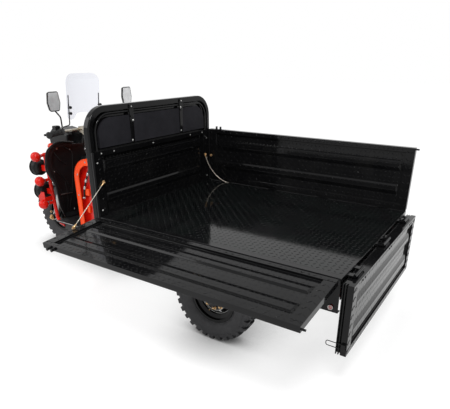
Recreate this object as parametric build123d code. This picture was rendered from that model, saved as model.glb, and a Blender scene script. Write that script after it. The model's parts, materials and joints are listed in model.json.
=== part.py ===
"""Three-wheeled cargo tricycle with an open load bed, its drop side down and its tailgate hanging.

Millimetres. The origin is the centre of the load floor's top face, +X forward, +Y to the left, +Z up.
"""

import os
from math import cos, pi, radians, sin, tan

from build123d import *

# ---- Load bed ----
bed_length = 1500.0
bed_width = 1150.0
floor_thick = 3.0
edge_rail_high = 40.0
edge_rail_wide = 50.0
side_sill_wide = 40.0
cross_member_wide = 40.0
cross_member_count = 5
side_high = 383.0
side_thick = 30.0
panel_rail_wide = 29.0
panel_post_wide = 55.0
stiffener_wide = 30.0
sheet_thick = 2.0
sheet_recess = 13.0
rib_proud = 8.0
rib_end_gap = 15.0
rib_end_ramp = 12.0
side_end_gap = 2.0
tailgate_high = 362.0
end_slot_wide = 7.0
end_slot_deep = 18.0

# A pressed rib: where its foot starts and ends above the panel's hinge edge, and its two ramps.
panel_ribs = ((85.0, 150.0, 28.0, 10.0), (232.0, 303.0, 27.0, 5.0))

# ---- Latches ----
knob_r = 7.0
knob_high = 13.0
knobs_from_end = (50.0, 85.0)
latch_pin_r = 5.0
latch_pin_long = 18.0
latch_below_edge = 38.0
latch_wide = 12.0
bail_wide = 25.0
bail_reach = 98.0
bail_r = 2.0

# ---- Hinges of the sides and tailgate ----
hinge_pin_r = 5.0
hinge_barrel_r = 8.0
hinge_clearance = 0.05
hinge_length = 60.0
hinge_drop = 8.0
hinge_lift = 13.0
side_hinge_out = 13.0
side_hinge_inset = 19.0
tailgate_hinge_out = 36.0
tailgate_hinge_inset = 26.0
side_open_deg = 95.0
tailgate_open_deg = 180.0

# ---- Headboard ----
headboard_gap = 9.0
headboard_deep = 43.0
headboard_wide = 1166.0
headboard_high = 631.0
headboard_post_wide = 32.0
headboard_corner_r = 140.0
headboard_edge_r = 8.0
corner_post_wide = 50.0
headboard_sheet_at = 20.0
mid_rail_low = 355.0
mid_rail_high = 30.0
mid_rail_thick = 3.0
headboard_ribs = ((60.0, 125.0, 28.0, 10.0), (248.0, 330.0, 27.0, 8.0))
hoop_r = 7.0
hoop_inset = 21.0
pad_gap = 15.0
pad_low = 400.0
strap_at = 240.0
strap_thick = 6.0
strap_foot_wide = 22.0
strap_top_wide = 34.0

# ---- Chassis frame ----
rail_at = 230.0
rail_wide = 50.0
rail_high = 80.0
rail_front = 840.0
low_rail_high = 60.0
low_rail_z = -300.0
low_rail_from = 960.0
low_rail_to = 1540.0
neck_r = 28.0
head_tube_r = 33.0
tray_thick = 10.0
battery_gap = 8.0
battery_under_seat = 60.0

# ---- Wheels and axles ----
wheel_r = 245.0
axle_z = -330.0
rear_axle_x = -45.0
front_axle_x = 1868.0
rear_wheel_at = 505.0
rear_tyre_wide = 118.0
front_tyre_wide = 104.0
bead_r = 127.0
rim_flange_r = 138.0
rim_wide = 82.0
rim_thick = 4.0
tyre_sides = 30
tread_deep = 11.0
lug_long = 27.0
dish_in = 2.0
dish_out = 22.0
disc_holes = 8
disc_hole_r = 8.0
disc_bolt_r = 58.0
disc_nuts = 8
disc_nut_r = 9.0
disc_nut_high = 12.0
hub_r = 42.0
spindle_r = 20.0
bearing_clearance = 0.05
axle_tube_r = 32.0
spring_leaf_thick = 7.0
spring_leaf_count = 4
spring_half_length = 430.0
spring_eye_z = -190.0
spring_wide = 50.0
spring_hanger_thick = 4.0
spring_pin_r = 8.0
spring_eye_r = 13.0
clamp_bar_r = 5.0

# ---- Steering ----
rake_deg = 26.0
fork_offset = 40.0
head_low = 330.0
head_high = 500.0
stem_r = 19.0
fork_leg_at = 92.0
fork_slider_r = 24.0
fork_slider_top = 255.0
fork_tube_r = 17.0
bar_clamp_low = 792.0
bar_clamp_high = 822.0
bar_r = 11.0
grip_r = 17.0
grip_length = 120.0
grip_rings = 7
bar_half = 380.0
bar_elbow_at = 240.0
bar_rise_at = 90.0
lever_long = 125.0
lever_r = 5.0
front_guard_gap = 18.0
guard_thick = 4.0
front_guard_wide = 124.0

# ---- Cowl, screen and mirrors ----
cowl_half = 105.0
cowl_edge_r = 16.0
dial_half = 70.0
lens_z = 290.0
lens_r = 62.0
indicator_r = 24.0
screen_half = 150.0
screen_high = 310.0
screen_notch = 45.0
screen_thick = 3.0
screen_bend_r = 450.0
screen_bulge = 26.0
screen_rod_r = 4.0
mirror_out = 111.0
mirror_up = 212.0
mirror_half = 50.0
mirror_tall = 62.0
mirror_deep = 18.0
mirror_stem_r = 5.0

# ---- Rider's place ----
seat_back_x = 830.0
seat_front_x = 1330.0
seat_half = 270.0
seat_top_z = 250.0
seat_wall = 4.0
seat_lip = 45.0
side_panel_in = 34.0
seat_front_r = 150.0
cushion_length = 370.0
cushion_half = 215.0
cushion_thick = 80.0
board_thick = 8.0
board_front_x = 1590.0

# ---- Leg shield and guards ----
shield_half = 355.0
shield_top_z = 330.0
shield_low_z = -258.0
shield_lean = 0.2
shield_x = 1550.0
shield_thick = 5.0
shield_rim = 40.0
shield_corner_r = 38.0
shield_taper = 14.0
shield_lip = 4.0
guard_bar_lean = 45.0
guard_bar_at = 250.0
guard_bar_top = 240.0
guard_foot_x = 1620.0
guard_bar_r = 13.0
ball_r = 36.0
ball_levels = (225.0, 45.0, -130.0)
ball_at = 335.0
lamp_levels = (125.0, -50.0)
lamp_radii = (60.0, 68.0)
lamp_arms = (57.0, 51.0)
lamp_deep = 70.0

# ---- Rear lamps ----
lamp_from = 430.0
lamp_to = 540.0
lamp_under = 4.0
lamp_tall = 60.0
lamp_proud = 3.0
lamp_deep_in = 18.0
reflector_r = 11.0
reflector_z = -148.0
reflector_from_end = 34.0

# ---- Stay cables ----
cable_r = 2.5
stay_boss_from_end = 15.0
stay_anchor_at = 515.0
stay_anchor_z = 203.0
stay_boss_r = 8.0
stay_boss_high = 8.0
stay_boss_up = 198.0
stay_lug_thick = 4.0
stay_lug_r = 9.0
ferrule_r = 4.0
seat_gap = 0.3

# ---- Worked out ----
bed_half_l = bed_length / 2
bed_half_w = bed_width / 2
floor_under = -floor_thick
rail_top = floor_under - edge_rail_high
lamp_high = rail_top - lamp_under
lamp_low = lamp_high - lamp_tall
side_hinge_y = bed_half_w + side_hinge_out
tailgate_hinge_x = -bed_half_l - tailgate_hinge_out
headboard_x = bed_half_l + headboard_gap
headboard_half = headboard_wide / 2
axis_dir = Vector(-sin(radians(rake_deg)), 0, cos(radians(rake_deg)))
axis_out = Vector(cos(radians(rake_deg)), 0, sin(radians(rake_deg)))
guard_bar_x = guard_foot_x + guard_bar_lean
ball_x = guard_foot_x + 30
axis_foot = Vector(front_axle_x, 0, axle_z) - axis_out * fork_offset

os.makedirs("parts", exist_ok=True)


# ---- Small helpers ----
def block(x0, x1, y0, y1, z0, z1):
    """A box between two corners."""
    centre = Pos((x0 + x1) / 2, (y0 + y1) / 2, (z0 + z1) / 2)
    return centre * Box(x1 - x0, y1 - y0, z1 - z0)


def rod(start, end, radius):
    """A round bar from one point to another."""
    start, end = Vector(*start), Vector(*end)
    plane = Plane(origin=start, z_dir=end - start)
    return extrude(plane * Circle(radius), (end - start).length)


def pipe(points, radius, bend):
    """A round bar along a bent path."""
    path = FilletPolyline(*points, radius=bend)
    return sweep(Plane(origin=path @ 0, z_dir=path % 0) * Circle(radius), path=path)


def side_profile(points, y0, y1):
    """An outline of X and Z points, extruded from y0 to y1."""
    line = Polyline(*[(x, y0, z) for x, z in points], close=True)
    return extrude(make_face(line), y1 - y0, dir=(0, 1, 0))


def ring_y(profile_points, x, y, z):
    """A ring turned about a wheel's axis from radius and width points."""
    face = make_face(Polyline(*profile_points, close=True))
    return Pos(x, y, z) * revolve(face, Axis.Y)


def on_axis(along, out=0.0, y=0.0):
    """A point beside the steering axis."""
    return axis_foot + axis_dir * along + axis_out * out + Vector(0, y, 0)


def axis_rod(low, high, radius, out=0.0, y=0.0):
    """A round bar parallel to the steering axis."""
    return rod(on_axis(low, out, y), on_axis(high, out, y), radius)


def both_sides(shape):
    """A shape with its mirror image across the vehicle's middle."""
    return shape + mirror(shape, about=Plane.XZ)


def pair(shape):
    """A shape and its separate mirror image across the vehicle's middle."""
    return Compound(children=[*shape.solids(), *mirror(shape, about=Plane.XZ).solids()])


def save(shape, name):
    """Writes one node."""
    export_step(shape, f"parts/{name}.step")


# ---- Pressed panels, shared by the sides, the tailgate and the headboard ----
def rib_form(length, rib):
    """The raised form of a pressed rib, above the XY plane, its hinge-side ramp the gentler."""
    start, end, near_ramp, far_ramp = rib
    crest_start, crest_end = start + near_ramp, end - far_ramp
    foot = Pos(0, (start + end) / 2) * Rectangle(length, end - start)
    crest = Rectangle(length - 2 * rib_end_ramp, crest_end - crest_start)
    crest = Pos(0, (crest_start + crest_end) / 2, rib_proud) * crest
    return loft([foot, crest], ruled=True)


def press_ribs(sheet, length, ribs):
    """Presses long hollow ribs out of a sheet that lies on the XY plane, towards +Z."""
    for rib in ribs:
        form = rib_form(length, rib)
        sheet = sheet + Pos(0, 0, sheet_thick) * form - form
    return sheet


def panel_sheet(length, height):
    """A bed panel's pressed sheet, its face recessed behind the XY plane, its hinge edge at Y 0."""
    inside = length - 2 * panel_post_wide
    middle = Pos(0, height / 2, sheet_thick / 2)
    sheet = middle * Box(inside, height - 2 * panel_rail_wide, sheet_thick)
    sheet = press_ribs(sheet, inside - 2 * rib_end_gap, panel_ribs)
    return Pos(0, 0, -sheet_recess - sheet_thick) * sheet


def panel_frame(length, height, thick):
    """A bed panel's rails, end posts and back stiffeners, its face in the XY plane."""
    inside = length - 2 * panel_post_wide
    frame = Box(length, height, thick) - Box(inside, height - 2 * panel_rail_wide, thick)
    behind = thick - sheet_recess - sheet_thick
    for x in (-inside / 6, inside / 6):
        frame += Pos(x, 0, (behind - thick) / 2) * Box(stiffener_wide, height, behind)
    return Pos(0, height / 2, -thick / 2) * frame


# Stands a stock panel up on its hinge edge, its face towards +Y.
stand_up = Rot(Z=180) * Rot(X=90)


def hinged_frame(frame, positions, inset):
    """A panel's frame stood up on its hinge line, which runs along X through the origin."""
    body = Pos(0, inset, hinge_lift) * stand_up * frame
    for at in positions:
        half = hinge_length / 2
        leaf = block(at - half, at + half, -hinge_barrel_r, hinge_barrel_r, 0, hinge_lift)
        barrel = rod((at - half, 0, 0), (at + half, 0, 0), hinge_barrel_r)
        bore = rod((at - half, 0, 0), (at + half, 0, 0), hinge_pin_r + hinge_clearance)
        body = body + leaf + barrel - bore
    return body


def stay_boss(which):
    """The stud on a closed side's front end post that the stay cable hooks onto."""
    face_y = side_hinge_y - side_hinge_inset
    x = side_length / 2 - stay_boss_from_end
    z = stay_boss_up - hinge_drop
    return rod((x, which * face_y, z), (x, which * (face_y - stay_boss_high), z), stay_boss_r)


def side_latch(which):
    """A closed side's two knobs on its top edge and the pin on its rear end."""
    top = hinge_lift - hinge_drop + side_high
    y = which * (side_hinge_y - side_hinge_inset + side_thick - knob_r - 1)
    knobs = []
    for back in knobs_from_end:
        x = side_length / 2 - back
        knobs.append(rod((x, y, top - 1), (x, y, top + knob_high), knob_r))
    end, z = -side_length / 2, top - 2 * latch_pin_r
    pin_y = which * (side_hinge_y - latch_pin_r / 2 + 1)
    pin = rod((end + 1, pin_y, z), (end - latch_pin_long, pin_y, z), latch_pin_r)
    return knobs[0] + knobs[1] + pin


def tailgate_latch():
    """The catch and its wire bail on one end of the stock tailgate, its face in the XY plane."""
    end = tailgate_length / 2
    high = tailgate_high - latch_below_edge
    low = high - bail_wide
    catch = Pos(end + latch_wide / 2, (low + high) / 2, -14) * Box(latch_wide, bail_wide + 6, 20)
    wire = [(end + 6, high, -16), (end + 6, high, -bail_reach), (end + 6, low, -bail_reach), (end + 6, low, -16)]
    return catch + pipe(wire, bail_r, 9)


def fixed_hinges(positions):
    """Pins with a barrel at each end, along X at the origin, and a strap towards +Y."""
    parts = []
    half = hinge_length / 2
    for at in positions:
        pin = rod((at - half - 30, 0, 0), (at + half + 30, 0, 0), hinge_pin_r)
        for side in (-1, 1):
            start, end = at + side * (half + 1), at + side * (half + 30)
            pin = pin + rod((start, 0, 0), (end, 0, 0), hinge_barrel_r)
        parts.append(pin)
    return parts


side_hinges_at = (-600.0, -200.0, 200.0, 600.0)
tailgate_hinges_at = (-440.0, 0.0, 440.0)
side_length = bed_length - 2 * side_end_gap
tailgate_length = bed_width
tailgate_thick = 2 * tailgate_hinge_inset


def side_panel(which):
    """Frame and sheet of the left (1) or right (-1) side, closed."""
    frame = hinged_frame(panel_frame(side_length, side_high, side_thick), side_hinges_at, side_hinge_inset)
    sheet = Pos(0, side_hinge_inset, hinge_lift) * stand_up * panel_sheet(side_length, side_high)
    turn = Rot(Z=180) if which > 0 else Rot()
    place = Pos(0, which * side_hinge_y, -hinge_drop)
    frame = place * turn * frame + stay_boss(which) + side_latch(which)
    return frame, place * turn * sheet


def tailgate_panel():
    """Frame and sheet of the tailgate, closed."""
    frame = panel_frame(tailgate_length, tailgate_high, tailgate_thick)
    # Each end is an open channel with one fold down its middle.
    for depth in (tailgate_thick - 20, tailgate_thick - 8):
        slot = Box(2 * end_slot_deep, tailgate_high, end_slot_wide)
        for end in (-1, 1):
            frame -= Pos(end * tailgate_length / 2, tailgate_high / 2, -depth) * slot
    latch = tailgate_latch()
    frame = frame + latch + mirror(latch, about=Plane.YZ)
    frame = hinged_frame(frame, tailgate_hinges_at, tailgate_hinge_inset)
    sheet = panel_sheet(tailgate_length, tailgate_high)
    sheet = Pos(0, tailgate_hinge_inset, hinge_lift) * stand_up * sheet
    place = Pos(tailgate_hinge_x, 0, -hinge_drop) * Rot(Z=-90)
    return place * frame, place * sheet


def swing(shapes, axis, degrees):
    """Turns shapes together about a hinge line."""
    return [shape.rotate(axis, degrees) for shape in shapes]


def make_panels():
    left_axis = Axis((0, side_hinge_y, -hinge_drop), (1, 0, 0))
    frame, sheet = swing(side_panel(1), left_axis, -side_open_deg)
    save(frame, "left_side_frame")
    save(sheet, "left_side_sheet")
    frame, sheet = side_panel(-1)
    save(frame, "right_side_frame")
    save(sheet, "right_side_sheet")
    tail_axis = Axis((tailgate_hinge_x, 0, -hinge_drop), (0, 1, 0))
    frame, sheet = swing(tailgate_panel(), tail_axis, -tailgate_open_deg)
    save(frame, "tailgate_frame")
    save(sheet, "tailgate_sheet")


# ---- Bed ----
def tail_lamp():
    """The left tail lamp, let into the plate under the bed's rear rail."""
    front = -bed_half_l - lamp_proud
    return block(front, front + lamp_deep_in, lamp_from, lamp_to, lamp_low, lamp_high)


def make_bed():
    # The floor plate lies between two sills, flush with their tops.
    plate_half = bed_half_w - side_sill_wide
    floor = block(-bed_half_l, bed_half_l, -plate_half, plate_half, floor_under, 0)
    save(floor, "load_floor")
    inner_l, inner_w = bed_half_l - edge_rail_wide, bed_half_w - edge_rail_wide
    frame = block(-bed_half_l, bed_half_l, -bed_half_w, bed_half_w, rail_top, floor_under)
    frame -= block(-inner_l, inner_l, -inner_w, inner_w, rail_top, floor_under)
    frame += both_sides(block(-bed_half_l, bed_half_l, plate_half, bed_half_w, floor_under, 0))
    pitch = 2 * inner_l / (cross_member_count + 1)
    for i in range(1, cross_member_count + 1):
        x = -inner_l + i * pitch
        half = cross_member_wide / 2
        frame += block(x - half, x + half, -inner_w, inner_w, rail_top, floor_under)
    low = -hinge_drop - hinge_barrel_r
    for hinge in fixed_hinges(side_hinges_at):
        for which in (-1, 1):
            frame += Pos(0, which * side_hinge_y, -hinge_drop) * hinge
    half = hinge_length / 2
    for at in side_hinges_at:
        for which in (-1, 1):
            for end in (-1, 1):
                x0, x1 = sorted((at + end * (half + 1), at + end * (half + 30)))
                y0, y1 = sorted((which * bed_half_w, which * side_hinge_y))
                frame += block(x0, x1, y0, y1, low, -hinge_drop)
    for hinge in fixed_hinges(tailgate_hinges_at):
        frame += Pos(tailgate_hinge_x, 0, -hinge_drop) * Rot(Z=-90) * hinge
    for at in tailgate_hinges_at:
        for end in (-1, 1):
            y0, y1 = sorted((-at + end * (half + 1), -at + end * (half + 30)))
            frame += block(tailgate_hinge_x, -bed_half_l, y0, y1, low, -hinge_drop)
    lamp_plate = block(-bed_half_l, -bed_half_l + 5, lamp_from - 10, lamp_to + 10, lamp_low - 6, floor_under)
    frame += both_sides(lamp_plate - tail_lamp())
    save(frame, "bed_frame")

    skirt = block(-bed_half_l, -bed_half_l + 400, bed_half_w - 5, bed_half_w - 2, -170, rail_top)
    skirt += block(-bed_half_l, -bed_half_l + 400, bed_half_w - 30, bed_half_w - 2, -173, -170)
    save(pair(skirt), "bed_skirts")


# ---- Headboard ----
def arch(half, top, corner_r, low):
    """An upright outline with two rounded top corners, looking along X."""
    line = FilletPolyline((-half, low), (-half, top), (half, top), (half, low), radius=corner_r)
    return make_face(line + Line((half, low), (-half, low)))


def arch_block(x0, x1, half, top, corner_r, low):
    plane = Plane(origin=(x0, 0, 0), x_dir=(0, 1, 0), z_dir=(1, 0, 0))
    return extrude(plane * arch(half, top, corner_r, low), x1 - x0)


def make_headboard():
    x0, x1 = headboard_x, headboard_x + headboard_deep
    inner_half = headboard_half - headboard_post_wide
    inner_top = headboard_high - headboard_post_wide
    inner_r = headboard_corner_r - headboard_post_wide
    sheet_x = x0 + headboard_sheet_at
    rail_z = mid_rail_low + mid_rail_high
    frame = arch_block(x0, x1, headboard_half, headboard_high, headboard_corner_r, rail_top)
    rounded = [e for e in frame.edges() if abs((e % 0.5).X) < 0.5 and (e @ 0.5).Z > rail_top + 1]
    frame = fillet(rounded, headboard_edge_r)
    frame -= arch_block(x0, x1, inner_half, inner_top, inner_r, 0)
    frame += block(bed_half_l, x0, -bed_half_w, bed_half_w, rail_top, floor_under)
    # Corner posts beside the lower panel, with an angle rail across their tops.
    post = block(x0, sheet_x, inner_half - corner_post_wide, inner_half, 0, mid_rail_low)
    frame += both_sides(post)
    frame += block(x0, x0 + mid_rail_thick, -inner_half, inner_half, mid_rail_low, rail_z)
    frame += block(x0, sheet_x, -inner_half, inner_half, rail_z - mid_rail_thick, rail_z)
    # The hoop of round bar inside the arch, and the straps that hold it and the pad.
    hoop_half, hoop_top = inner_half - hoop_inset, inner_top - hoop_inset + hoop_r
    x = x0 + hoop_r - 1
    corners = [(x, -hoop_half, rail_z - 1), (x, -hoop_half, hoop_top)]
    corners += [(x, hoop_half, hoop_top), (x, hoop_half, rail_z - 1)]
    frame += pipe(corners, hoop_r, inner_r)
    pad_half, pad_high = hoop_half - hoop_r - pad_gap, hoop_top - hoop_r - pad_gap
    strap_top = headboard_high - headboard_post_wide / 2
    foot, head = strap_foot_wide / 2, strap_top_wide / 2
    strap = Polyline((-foot, pad_low), (foot, pad_low), (head, strap_top), (-head, strap_top), close=True)
    plane = Plane(origin=(x0 - strap_thick, 0, 0), x_dir=(0, 1, 0), z_dir=(1, 0, 0))
    for at in (-strap_at, strap_at):
        frame += Pos(0, at, 0) * extrude(plane * make_face(strap), strap_thick)
    for side in (-1, 1):
        y = side * stay_anchor_at
        frame += rod((x0 - stay_lug_thick, y, stay_anchor_z), (x0, y, stay_anchor_z), stay_lug_r)
    save(frame, "headboard_frame")

    sheet = extrude(arch(inner_half, inner_top, inner_r, 0), sheet_thick)
    ribs_long = 2 * (inner_half - corner_post_wide - rib_end_gap)
    sheet = press_ribs(sheet, ribs_long, headboard_ribs)
    sheet = Pos(sheet_x + sheet_thick, 0, 0) * Rot(Z=-90) * Rot(X=90) * sheet
    save(sheet, "headboard_panel")
    pad = arch_block(x0, sheet_x, pad_half, pad_high, inner_r - hoop_r, pad_low)
    save(pad, "headboard_upper_panel")


# ---- Chassis ----
def neck_pipe(radius):
    """The tube from the low rails' front cross member up to the head tube."""
    path = [(low_rail_to - 20, 0, low_rail_z), (low_rail_to - 10, 0, -150), tuple(on_axis(415))]
    return pipe(path, radius, 120)


def make_chassis():
    top, low = rail_top, rail_top - rail_high
    outline = [
        (-bed_half_l + 10, low),
        (rail_front, low),
        (low_rail_from, low_rail_z - low_rail_high / 2),
        (low_rail_to, low_rail_z - low_rail_high / 2),
        (low_rail_to, low_rail_z + low_rail_high / 2),
        (low_rail_from + 40, low_rail_z + low_rail_high / 2),
        (rail_front + 40, top),
        (-bed_half_l + 10, top),
    ]
    rail = side_profile(outline, rail_at - rail_wide / 2, rail_at + rail_wide / 2)
    frame = both_sides(rail)
    outer = rail_at + rail_wide / 2
    low_z0, low_z1 = low_rail_z - low_rail_high / 2, low_rail_z + low_rail_high / 2
    hangers = (rear_axle_x - spring_half_length, rear_axle_x + spring_half_length)
    for x in (-bed_half_l + 30, hangers[0] + 75, hangers[1] + 15, rail_front - 60):
        frame += block(x - 20, x + 20, -outer, outer, low, top)
    for x in (low_rail_from + 40, seat_front_x - 30, low_rail_to - 20):
        frame += block(x - 20, x + 20, -outer, outer, low_z0, low_z1 - 20)
    tray = (low_rail_from + 20, seat_front_x - 10)
    frame += block(*tray, -outer + rail_wide, outer - rail_wide, low_z1 - 20, low_z1 - tray_thick)
    frame += neck_pipe(neck_r)
    bore = stem_r + bearing_clearance
    frame += axis_rod(head_low, head_high, head_tube_r)
    frame -= axis_rod(head_low - 1, head_high + 1, bore)
    # Spring hangers under the rails, with the pins that carry the springs' eyes.
    half = spring_wide / 2
    for x in hangers:
        for y in (rail_at, -rail_at):
            for y0 in (y - half, y + half - spring_hanger_thick):
                frame += block(x - 20, x + 20, y0, y0 + spring_hanger_thick, spring_eye_z - 20, low)
            frame += rod((x, y - half, spring_eye_z), (x, y + half, spring_eye_z), spring_pin_r)
    save(frame, "chassis_frame")


def make_rear_axle():
    axle = rod((rear_axle_x, -400, axle_z), (rear_axle_x, 400, axle_z), axle_tube_r)
    axle += Pos(rear_axle_x, 0, axle_z) * Sphere(105)
    axle += rod((rear_axle_x, 0, axle_z), (rear_axle_x + 330, 0, axle_z), 75)
    for side in (-1, 1):
        axle += rod((rear_axle_x, side * 400, axle_z), (rear_axle_x, side * 440, axle_z), 90)
        axle += rod((rear_axle_x, side * 400, axle_z), (rear_axle_x, side * 560, axle_z), spindle_r)
    save(axle, "rear_axle")
    axle += spring_clamps()
    save(axle, "rear_axle")
    ends = (rear_axle_x - spring_half_length, rear_axle_x + spring_half_length)
    half = spring_wide / 2 - spring_hanger_thick
    springs = []
    for y in (rail_at, -rail_at):
        spring = spring_leaves(y, half)
        for x in ends:
            spring += rod((x, y - half, spring_eye_z), (x, y + half, spring_eye_z), spring_eye_r)
            spring -= rod((x, y - half, spring_eye_z), (x, y + half, spring_eye_z), spring_pin_r)
        springs += spring.solids()
    save(Compound(children=springs), "leaf_springs")


def spring_leaves(y, half):
    """One spring's stack of curved leaves, each shorter than the one above it."""
    seat_z = axle_z + axle_tube_r
    drop = spring_eye_z - seat_z - spring_leaf_thick * (spring_leaf_count - 0.5)
    bend_r = (spring_half_length**2 + drop**2) / (2 * drop)
    centre = Pos(rear_axle_x, 0, spring_eye_z - drop + bend_r)
    stack = None
    for i in range(spring_leaf_count):
        inner_r = bend_r + spring_leaf_thick * (i - 0.5)
        ring = Circle(inner_r + spring_leaf_thick) - Circle(inner_r)
        leaf = centre * extrude(Plane.XZ * ring, half, both=True)
        reach = spring_half_length * (1 - i / (spring_leaf_count + 0.5))
        leaf &= block(rear_axle_x - reach, rear_axle_x + reach, -half, half, axle_z, spring_eye_z + 20)
        stack = leaf if stack is None else stack + leaf
    return Pos(0, y, 0) * stack


def spring_clamps():
    """The plates under the axle and the bars over the springs that clamp them together."""
    clamps = []
    plate_top = axle_z - axle_tube_r + 3
    over = axle_z + axle_tube_r + spring_leaf_thick * spring_leaf_count + clamp_bar_r + 2
    reach = spring_wide / 2 + clamp_bar_r
    for y in (rail_at, -rail_at):
        x = rear_axle_x
        span = axle_tube_r + clamp_bar_r + 2
        plate = block(x - span - 12, x + span + 12, y - reach - 10, y + reach + 10, plate_top - 8, plate_top)
        clamps.append(plate)
        for at in (x - span, x + span):
            wire = [(at, y - reach, plate_top - 18), (at, y - reach, over)]
            wire += [(at, y + reach, over), (at, y + reach, plate_top - 18)]
            clamps.append(pipe(wire, clamp_bar_r, clamp_bar_r + 4))
    return clamps


def make_battery():
    low = low_rail_z + low_rail_high / 2 - tray_thick
    half = rail_at - rail_wide / 2 - battery_gap
    x0, x1 = seat_back_x + 70, seat_front_x - seat_lip - 5
    save(block(x0, x1, -half, half, low, seat_top_z - battery_under_seat), "battery_block")


# ---- Rider's place ----
def seat_outline(back, front, low, top, radius):
    corner = [(back, low), (front, low), (front, top), (back, top)]
    face = make_face(Polyline(*corner, close=True))
    picked = [v for v in face.vertices() if abs(v.X - front) < 1 and abs(v.Y - top) < 1]
    return fillet(picked, radius)


def seat_prism(inset, half):
    low = low_rail_z + low_rail_high / 2
    face = seat_outline(
        seat_back_x + inset, seat_front_x - inset, low + inset, seat_top_z - inset, seat_front_r - inset
    )
    return Pos(0, half, 0) * extrude(Plane.XZ * face, 2 * half)


def make_rider():
    low = low_rail_z + low_rail_high / 2
    shell = seat_prism(0, seat_half) - seat_prism(seat_wall, seat_half - seat_wall)
    shell -= seat_prism(seat_lip, seat_half + 1)
    # The rails and the battery come up through the open bottom and back.
    shell -= block(seat_back_x - 1, seat_front_x - seat_lip, -262, 262, low - 1, low + 8)
    shell -= block(seat_back_x - 1, seat_back_x + 8, -262, 262, low - 1, seat_top_z - seat_lip)
    save(shell, "seat_base")
    panel_half = seat_half - side_panel_in
    panels = seat_prism(seat_wall, panel_half) - seat_prism(0, panel_half - seat_wall)
    # The rails come down to the low frame through the panels' back corners.
    panels -= block(seat_back_x - 1, low_rail_from + 50, -seat_half, seat_half, low - 1, rail_top + 1)
    save(panels, "seat_side_panels")
    back = headboard_x + headboard_deep
    cushion = block(back + 50, back + 50 + cushion_length, -cushion_half, cushion_half, seat_top_z, seat_top_z + cushion_thick)
    cushion = fillet(cushion.edges().filter_by(Axis.Z), 50)
    save(cushion, "seat_cushion")
    rest_x = headboard_x + headboard_sheet_at + sheet_thick + seat_gap
    rest = block(rest_x, rest_x + 45, -cushion_half, cushion_half, 385, 575)
    rest = fillet(rest.edges().filter_by(Axis.X), 40)
    save(rest, "backrest_pad")
    board = block(seat_front_x + 2, board_front_x, -290, 290, low, low + board_thick)
    board -= neck_pipe(neck_r + seat_gap)
    for side in (-1, 1):
        board -= guard_bar(side, guard_bar_r + seat_gap)
    save(board, "footboard")


def make_leg_shield():
    outline = [
        (0, shield_top_z - 25),
        (230, shield_top_z),
        (shield_half - 30, shield_top_z - 10),
        (shield_half, shield_top_z - 80),
        (shield_half - 5, 190),
        (290, 20),
        (235, shield_low_z + 12),
        (0, shield_low_z),
    ]
    full = outline + [(-y, z) for y, z in reversed(outline[1:-1])]
    plane = Plane(origin=(shield_x, 0, shield_low_z), x_dir=(0, 1, 0), z_dir=(1, 0, shield_lean))
    face = make_face(Polyline(*[(y, z - shield_low_z) for y, z in full], close=True))
    face = fillet([v for v in face.vertices() if abs(v.X) > 1], shield_corner_r)
    # A tray that narrows towards the front wheel, open towards the rider, its rim turned out.
    front = plane.offset(shield_rim)
    shell = loft([plane * face, front * offset(face, -shield_taper)], ruled=True)
    shell += extrude(plane * offset(face, shield_lip), shield_thick)
    hollow = offset(face, -shield_thick)
    back = plane.offset(shield_rim - shield_thick)
    shell -= loft([plane * hollow, back * offset(face, -shield_taper - shield_thick)], ruled=True)
    shell -= neck_pipe(neck_r + seat_gap)
    shell -= axis_rod(head_low - 40, head_high + 400, 60)
    save(shell, "leg_shield")


def guard_bar(side, radius):
    """The upright bar beside the front wheel, from the low rails' front end."""
    y = side * guard_bar_at
    foot = (guard_foot_x, y, low_rail_z + 20)
    bar = pipe([(low_rail_to - 5, y, low_rail_z), foot, (guard_bar_x, y, guard_bar_top)], radius, 60)
    return bar - block(low_rail_to - 60, low_rail_to, y - 40, y + 40, low_rail_z - 60, low_rail_z + 60)


def guard_bar_at_level(z):
    """Where the upright bar's centre line lies at a height."""
    low = low_rail_z + 20
    return guard_foot_x + (guard_bar_x - guard_foot_x) * (z - low) / (guard_bar_top - low)


def lamp_can(x, y, z, r):
    """A round lamp housing that opens out from its back to a bezel, looking along X."""
    bezel = lamp_deep - 12
    back = [(0, 0), (0, r * 0.5), (6, r * 0.72), (22, r * 0.95), (bezel - 4, r), (bezel, r), (bezel, r + 3)]
    profile = make_face(Polyline(*back, (lamp_deep, r + 3), (lamp_deep, 0), close=True))
    return Pos(x, y, z) * revolve(profile, Axis.X)


def lamp_dome(x, y, z, r):
    """A lamp's lens, slightly crowned."""
    outline = Polyline((0, 0), (0, r), (4, r), (9, r * 0.8), (13, r * 0.45), (15, 0), close=True)
    return Pos(x, y, z) * revolve(make_face(outline), Axis.X)


def lamp_bracket(side, z):
    """The notched sheet bracket that holds a lower lamp to its bar."""
    x = guard_bar_at_level(z)
    reach = lamp_arms[-1] + 20
    outline = [(x - 4, z - 62), (x - 4, z + 12)]
    outline += [(x + 14, z + 12), (x + 20, z + 2), (x + 32, z + 12), (x + 38, z), (x + reach, z - 30)]
    outline += [(x + reach, z - 62)]
    y = side * (guard_bar_at + lamp_radii[-1] + 5)
    plate = side_profile(outline, y - 2, y + 2)
    y0, y1 = sorted((side * guard_bar_at, y))
    foot = block(x - 4, x + 4, y0, y1, z - 62, z - 30)
    return plate + foot


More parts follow.
